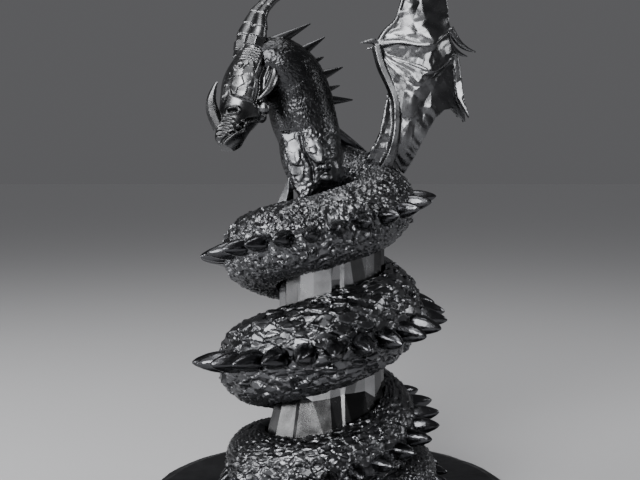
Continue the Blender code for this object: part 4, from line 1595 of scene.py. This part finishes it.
@dataclass
class Wing:
    """Raised wing with an arm, three fingers, two claws and faceted sheets between them."""

    side: Side
    root: Place = (38.0, 14.0, 240.0)
    arm: Line = (
        (27.4, 9.0, 233.0), (37.8, 1.0, 248.4), (42.4, -1.0, 258.8), (45.1, -1.0, 269.9), (45.8, 0.0, 281.0),
        (45.1, 1.5, 293.5), (41.1, 3.0, 304.7), (35.5, 4.0, 317.2), (32.0, 5.0, 331.1))
    arm_radii: tuple[float, ...] = (6.0, 4.6, 4.2, 4.0, 4.0, 4.0, 4.0, 4.2, 4.2)
    claws: tuple[Line, ...] = (
        ((32.7, 5.0, 331.8), (29.8, 4.0, 333.9), (26.3, 3.0, 333.9), (20.0, 2.0, 332.7)),
        ((82.2, 4.0, 342.8), (88.5, 5.0, 333.8), (94.6, 4.0, 328.9), (100.7, 3.0, 326.7)),
    )
    claw_radii: tuple[float, ...] = (3.2, 2.4, 1.6, 0.5)
    lead_finger: Line = (
        (32.8, 5.0, 331.7), (38.2, 4.0, 341.2), (44.9, 2.0, 347.8), (48.2, 1.0, 357.8), (53.0, 2.0, 374.3),
        (63.1, 5.0, 397.2), (76.9, 8.0, 417.5))
    middle_finger: Line = (
        (34.1, 5.0, 332.4), (47.5, -1.0, 332.9), (60.7, -6.0, 330.2), (69.4, -8.0, 330.5),
        (75.5, -3.0, 335.4), (82.6, 4.0, 342.0))
    rear_finger: Line = (
        (34.3, 5.0, 327.6), (39.6, 4.0, 323.4), (51.1, -1.0, 319.3), (60.9, -6.0, 315.3), (69.6, -7.0, 312.4),
        (78.6, -2.0, 317.8), (86.2, 4.0, 325.4))
    strut: Line = (
        (86.2, 4.0, 325.4), (87.8, 4.0, 311.0), (89.5, 5.0, 295.1), (93.5, 7.0, 278.6))
    finger_radii: tuple[float, ...] = (3.2, 2.1, 1.7, 1.5, 1.4, 1.3, 1.0)
    strut_radii: tuple[float, ...] = (2.6, 3.4, 3.0, 1.2)
    strut_plate: Plate = Plate((
        (83.8, 324.5), (87.6, 326.0), (90.4, 311.0), (92.0, 295.5), (95.6, 279.6), (87.6, 294.5),
        (85.6, 309.5)), 1.2, (-0.20, 0.22), 0.0, (9.0, 0.05), 5.0)
    root_edge: Line = (
        (42.5, 1.0, 253.3), (47.0, 4.0, 246.4), (51.5, 7.0, 242.9))
    front_edge: Line = (
        (19.0, 5.0, 241.0), (25.8, 0.0, 255.3), (32.6, -1.0, 267.1), (36.1, 0.0, 279.5), (38.2, 1.0, 290.0),
        (41.1, 3.0, 301.9))
    sheet: float = 2.2
    steps: int = 11
    line_steps: int = 40
    looseness: float = 0.7
    roughness: float = 0.5
    fineness: int = 8
    plane_size: float = 4.6
    plane_depth: float = 1.5
    lead_scallop: float = 0.05
    middle_scallop: float = 0.06
    rear_scallop: float = 0.15
    far_depth: float = 62.0
    far_curve: float = 0.15
    far_shift: tuple[float, float] = (7.0, 9.0)
    far_scale: float = 0.95
    grain: float = 0.48
    triangles: int = 55000

    def place(self, points: np.ndarray) -> np.ndarray:
        """Move points of the near wing to this wing.

        Args:
            points: Points of the near wing.

        Returns:
            The moved points.
        """
        if self.side is Side.NEAR:
            return points
        root = np.array(self.root)
        moved = root + (points - root) * self.far_scale
        moved[..., 0] += self.far_shift[0]
        moved[..., 1] = self.far_depth + self.far_curve * points[..., 1]
        moved[..., 2] += self.far_shift[1]
        return moved

    def between(self, first: Sequence[Sequence[float]], second: Sequence[Sequence[float]], scallop: float,
                sag: float, salt: float, rows_across: int) -> np.ndarray:
        """Lay a chiselled sheet between two lines.

        Args:
            first: Places on the first line.
            second: Places on the second line.
            scallop: How far its free edge is hollowed, as a share of its length.
            sag: How far its middle hangs back.
            salt: Number that tells the planes of one sheet from another's.
            rows_across: Number of planes from the first line to the second.

        Returns:
            The sheet's grid of points.
        """
        lines = [smooth_rows(line, self.line_steps) for line in (first, second)]
        row = np.arange(rows_across + 1)
        key = np.arange(self.steps + 1)
        loose = (np.minimum(1.0, np.minimum(row, rows_across - row))[:, None]
                 * np.minimum(1.0, np.minimum(key, self.steps - key))[None, :])
        jitter = [(chance(row[:, None], 1.0 * key[None, :], salt + part) - 0.5) * loose for part in range(3)]
        across = (row[:, None] + self.looseness * jitter[0]) / rows_across
        along = (key[None, :] + self.looseness * jitter[1]) / self.steps
        slack = np.sin(math.pi * across ** 0.7)
        reach = along * (1.0 - scallop * slack)
        near, far = (sample(rows, reach * (len(rows) - 1)) for rows in lines)
        grid = near * (1.0 - across[..., None]) + far * across[..., None]
        grid[..., 1] += sag * np.sin(math.pi * across) * along + 2.0 * self.roughness * jitter[2]
        for _ in range(2):
            count = len(grid)
            place = np.linspace(0.0, count - 1.0, (count - 1) * self.fineness + 1)
            grid = sample(grid, place).swapaxes(0, 1)
        inner = grid[1:-1, 1:-1]
        inner[..., 1] += crumple(inner[..., 0], inner[..., 2], self.plane_size, self.plane_depth, salt)
        return grid

    def build(self) -> bpy.types.Object:
        """Build the wing.

        Returns:
            The wing's object.
        """
        casting = Casting("dragon_wing_" + self.side.value)
        bones = [(self.arm, self.arm_radii), (self.strut, self.strut_radii)]
        bones += [(line, self.claw_radii) for line in self.claws]
        for line in (self.lead_finger, self.middle_finger, self.rear_finger):
            bones.append((line, self.finger_radii[:len(line)]))
        for line, radii in bones:
            casting.add_limb(self.place(np.array(line)), radii, 7, 4)
        outer = (*self.rear_finger, *self.strut[1:])
        inner = (*self.arm[:1:-1], *self.root_edge[1:])
        sheets = (
            self.between(self.lead_finger, self.middle_finger, self.lead_scallop, 2.0, 1.0, 5),
            self.between(self.middle_finger, self.rear_finger, self.middle_scallop, 2.0, 2.0, 3),
            self.between(outer, inner, self.rear_scallop, -6.0, 3.0, 8),
            self.between(self.front_edge, self.arm[1:7], 0.0, 1.0, 4.0, 3),
        )
        for grid in sheets:
            casting.add_sheet(self.place(grid), self.sheet)
        if self.side is Side.NEAR:
            casting.add_rings(self.strut_plate.rings())
        if self.side is Side.FAR:
            root = self.place(np.array(self.root))
            casting.add_limb(((14.0, 26.0, 244.0), (30.0, 42.0, 243.0), root), (16.0, 13.0, 9.0), 30)
        piece = casting.fuse(self.grain, self.triangles)
        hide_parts("dragon")
        dress(piece, Gunmetal("wing gunmetal " + self.side.value, Tone.SKIN, 0.20, 0.34))
        return piece


@dataclass
class Studio:
    """Plain pale floor, soft lights and the photograph's camera."""

    camera_place: Place = (-0.0077, -0.630, 0.240)
    camera_pitch: float = 4.0
    lens: float = 50.625
    floor_size: float = 60.0
    floor_color: Place = (0.42, 0.42, 0.43)
    floor_roughness: float = 0.85
    world_color: Place = (0.11, 0.11, 0.115)
    aim: Place = (0.0, 0.0, 0.22)
    lights: tuple[tuple[str, Place, float, float], ...] = (
        ("key light", (-0.45, -1.10, 0.85), 0.78, 27.0),
        ("left light", (-1.15, -0.30, 0.42), 0.60, 12.0),
        ("top light", (-0.10, 0.10, 1.35), 0.60, 6.0),
        ("right light", (1.05, 0.10, 0.60), 0.30, 2.5),
    )
    sky_place: Place = (-0.25, -0.30, 0.90)
    sky_energy: float = 0.55
    sky_angle: float = 50.0

    def add_floor(self) -> None:
        """Lay the floor."""
        half = 0.5 * self.floor_size
        mesh = bpy.data.meshes.new("floor")
        corners = [(-half, -half, 0.0), (half, -half, 0.0), (half, half, 0.0), (-half, half, 0.0)]
        mesh.from_pydata(corners, [], [[0, 1, 2, 3]])
        floor = put("floor", mesh)
        paint = bpy.data.materials.new("floor paint")
        paint.use_nodes = True
        shader = paint.node_tree.nodes["Principled BSDF"]
        shader.inputs["Base Color"].default_value = (*self.floor_color, 1.0)
        shader.inputs["Roughness"].default_value = self.floor_roughness
        mesh.materials.append(paint)

    def add_light(self, name: str, place: Place, size: float, power: float) -> None:
        """Hang a soft square light that points at the statue.

        Args:
            name: Name of the light.
            place: Its place in metres.
            size: Length of its side in metres.
            power: Its power in watts.
        """
        lamp = bpy.data.lights.new(name, "AREA")
        lamp.size = size
        lamp.energy = power
        thing = put(name, lamp)
        thing.location = place
        aim = Vector(place) - Vector(self.aim)
        thing.rotation_euler = aim.to_track_quat("Z", "Y").to_euler()

    def add_sky(self) -> None:
        """Add the soft light of the sky."""
        sky = bpy.data.lights.new("soft sky", "SUN")
        sky.energy = self.sky_energy
        sky.angle = math.radians(self.sky_angle)
        thing = put("soft sky", sky)
        thing.rotation_euler = Vector(self.sky_place).to_track_quat("Z", "Y").to_euler()

    def add_camera(self) -> None:
        """Set the camera at the photograph's place."""
        data = bpy.data.cameras.new("camera")
        data.lens = self.lens
        data.sensor_width = 36.0
        camera = put("camera", data)
        camera.location = self.camera_place
        camera.rotation_euler = (math.radians(90.0 - self.camera_pitch), 0.0, 0.0)
        bpy.context.scene.camera = camera

    def build(self) -> None:
        """Set up the floor, the lights, the surroundings and the camera."""
        self.add_floor()
        for light in self.lights:
            self.add_light(*light)
        self.add_sky()
        world = bpy.data.worlds.new("surroundings")
        world.use_nodes = True
        background = world.node_tree.nodes["Background"]
        background.inputs["Color"].default_value = (*self.world_color, 1.0)
        bpy.context.scene.world = world
        self.add_camera()


def main() -> None:
    """Build the statue and its studio, in order."""
    logging.basicConfig(level=logging.INFO, format="%(message)s")
    Studio().build()
    Plinth().build()
    column = Column()
    column.build()
    Trunk(Winding(), column, Scales()).build()
    Head().build()
    for side in Side:
        Wing(side).build()


if __name__ == "__main__":
    main()
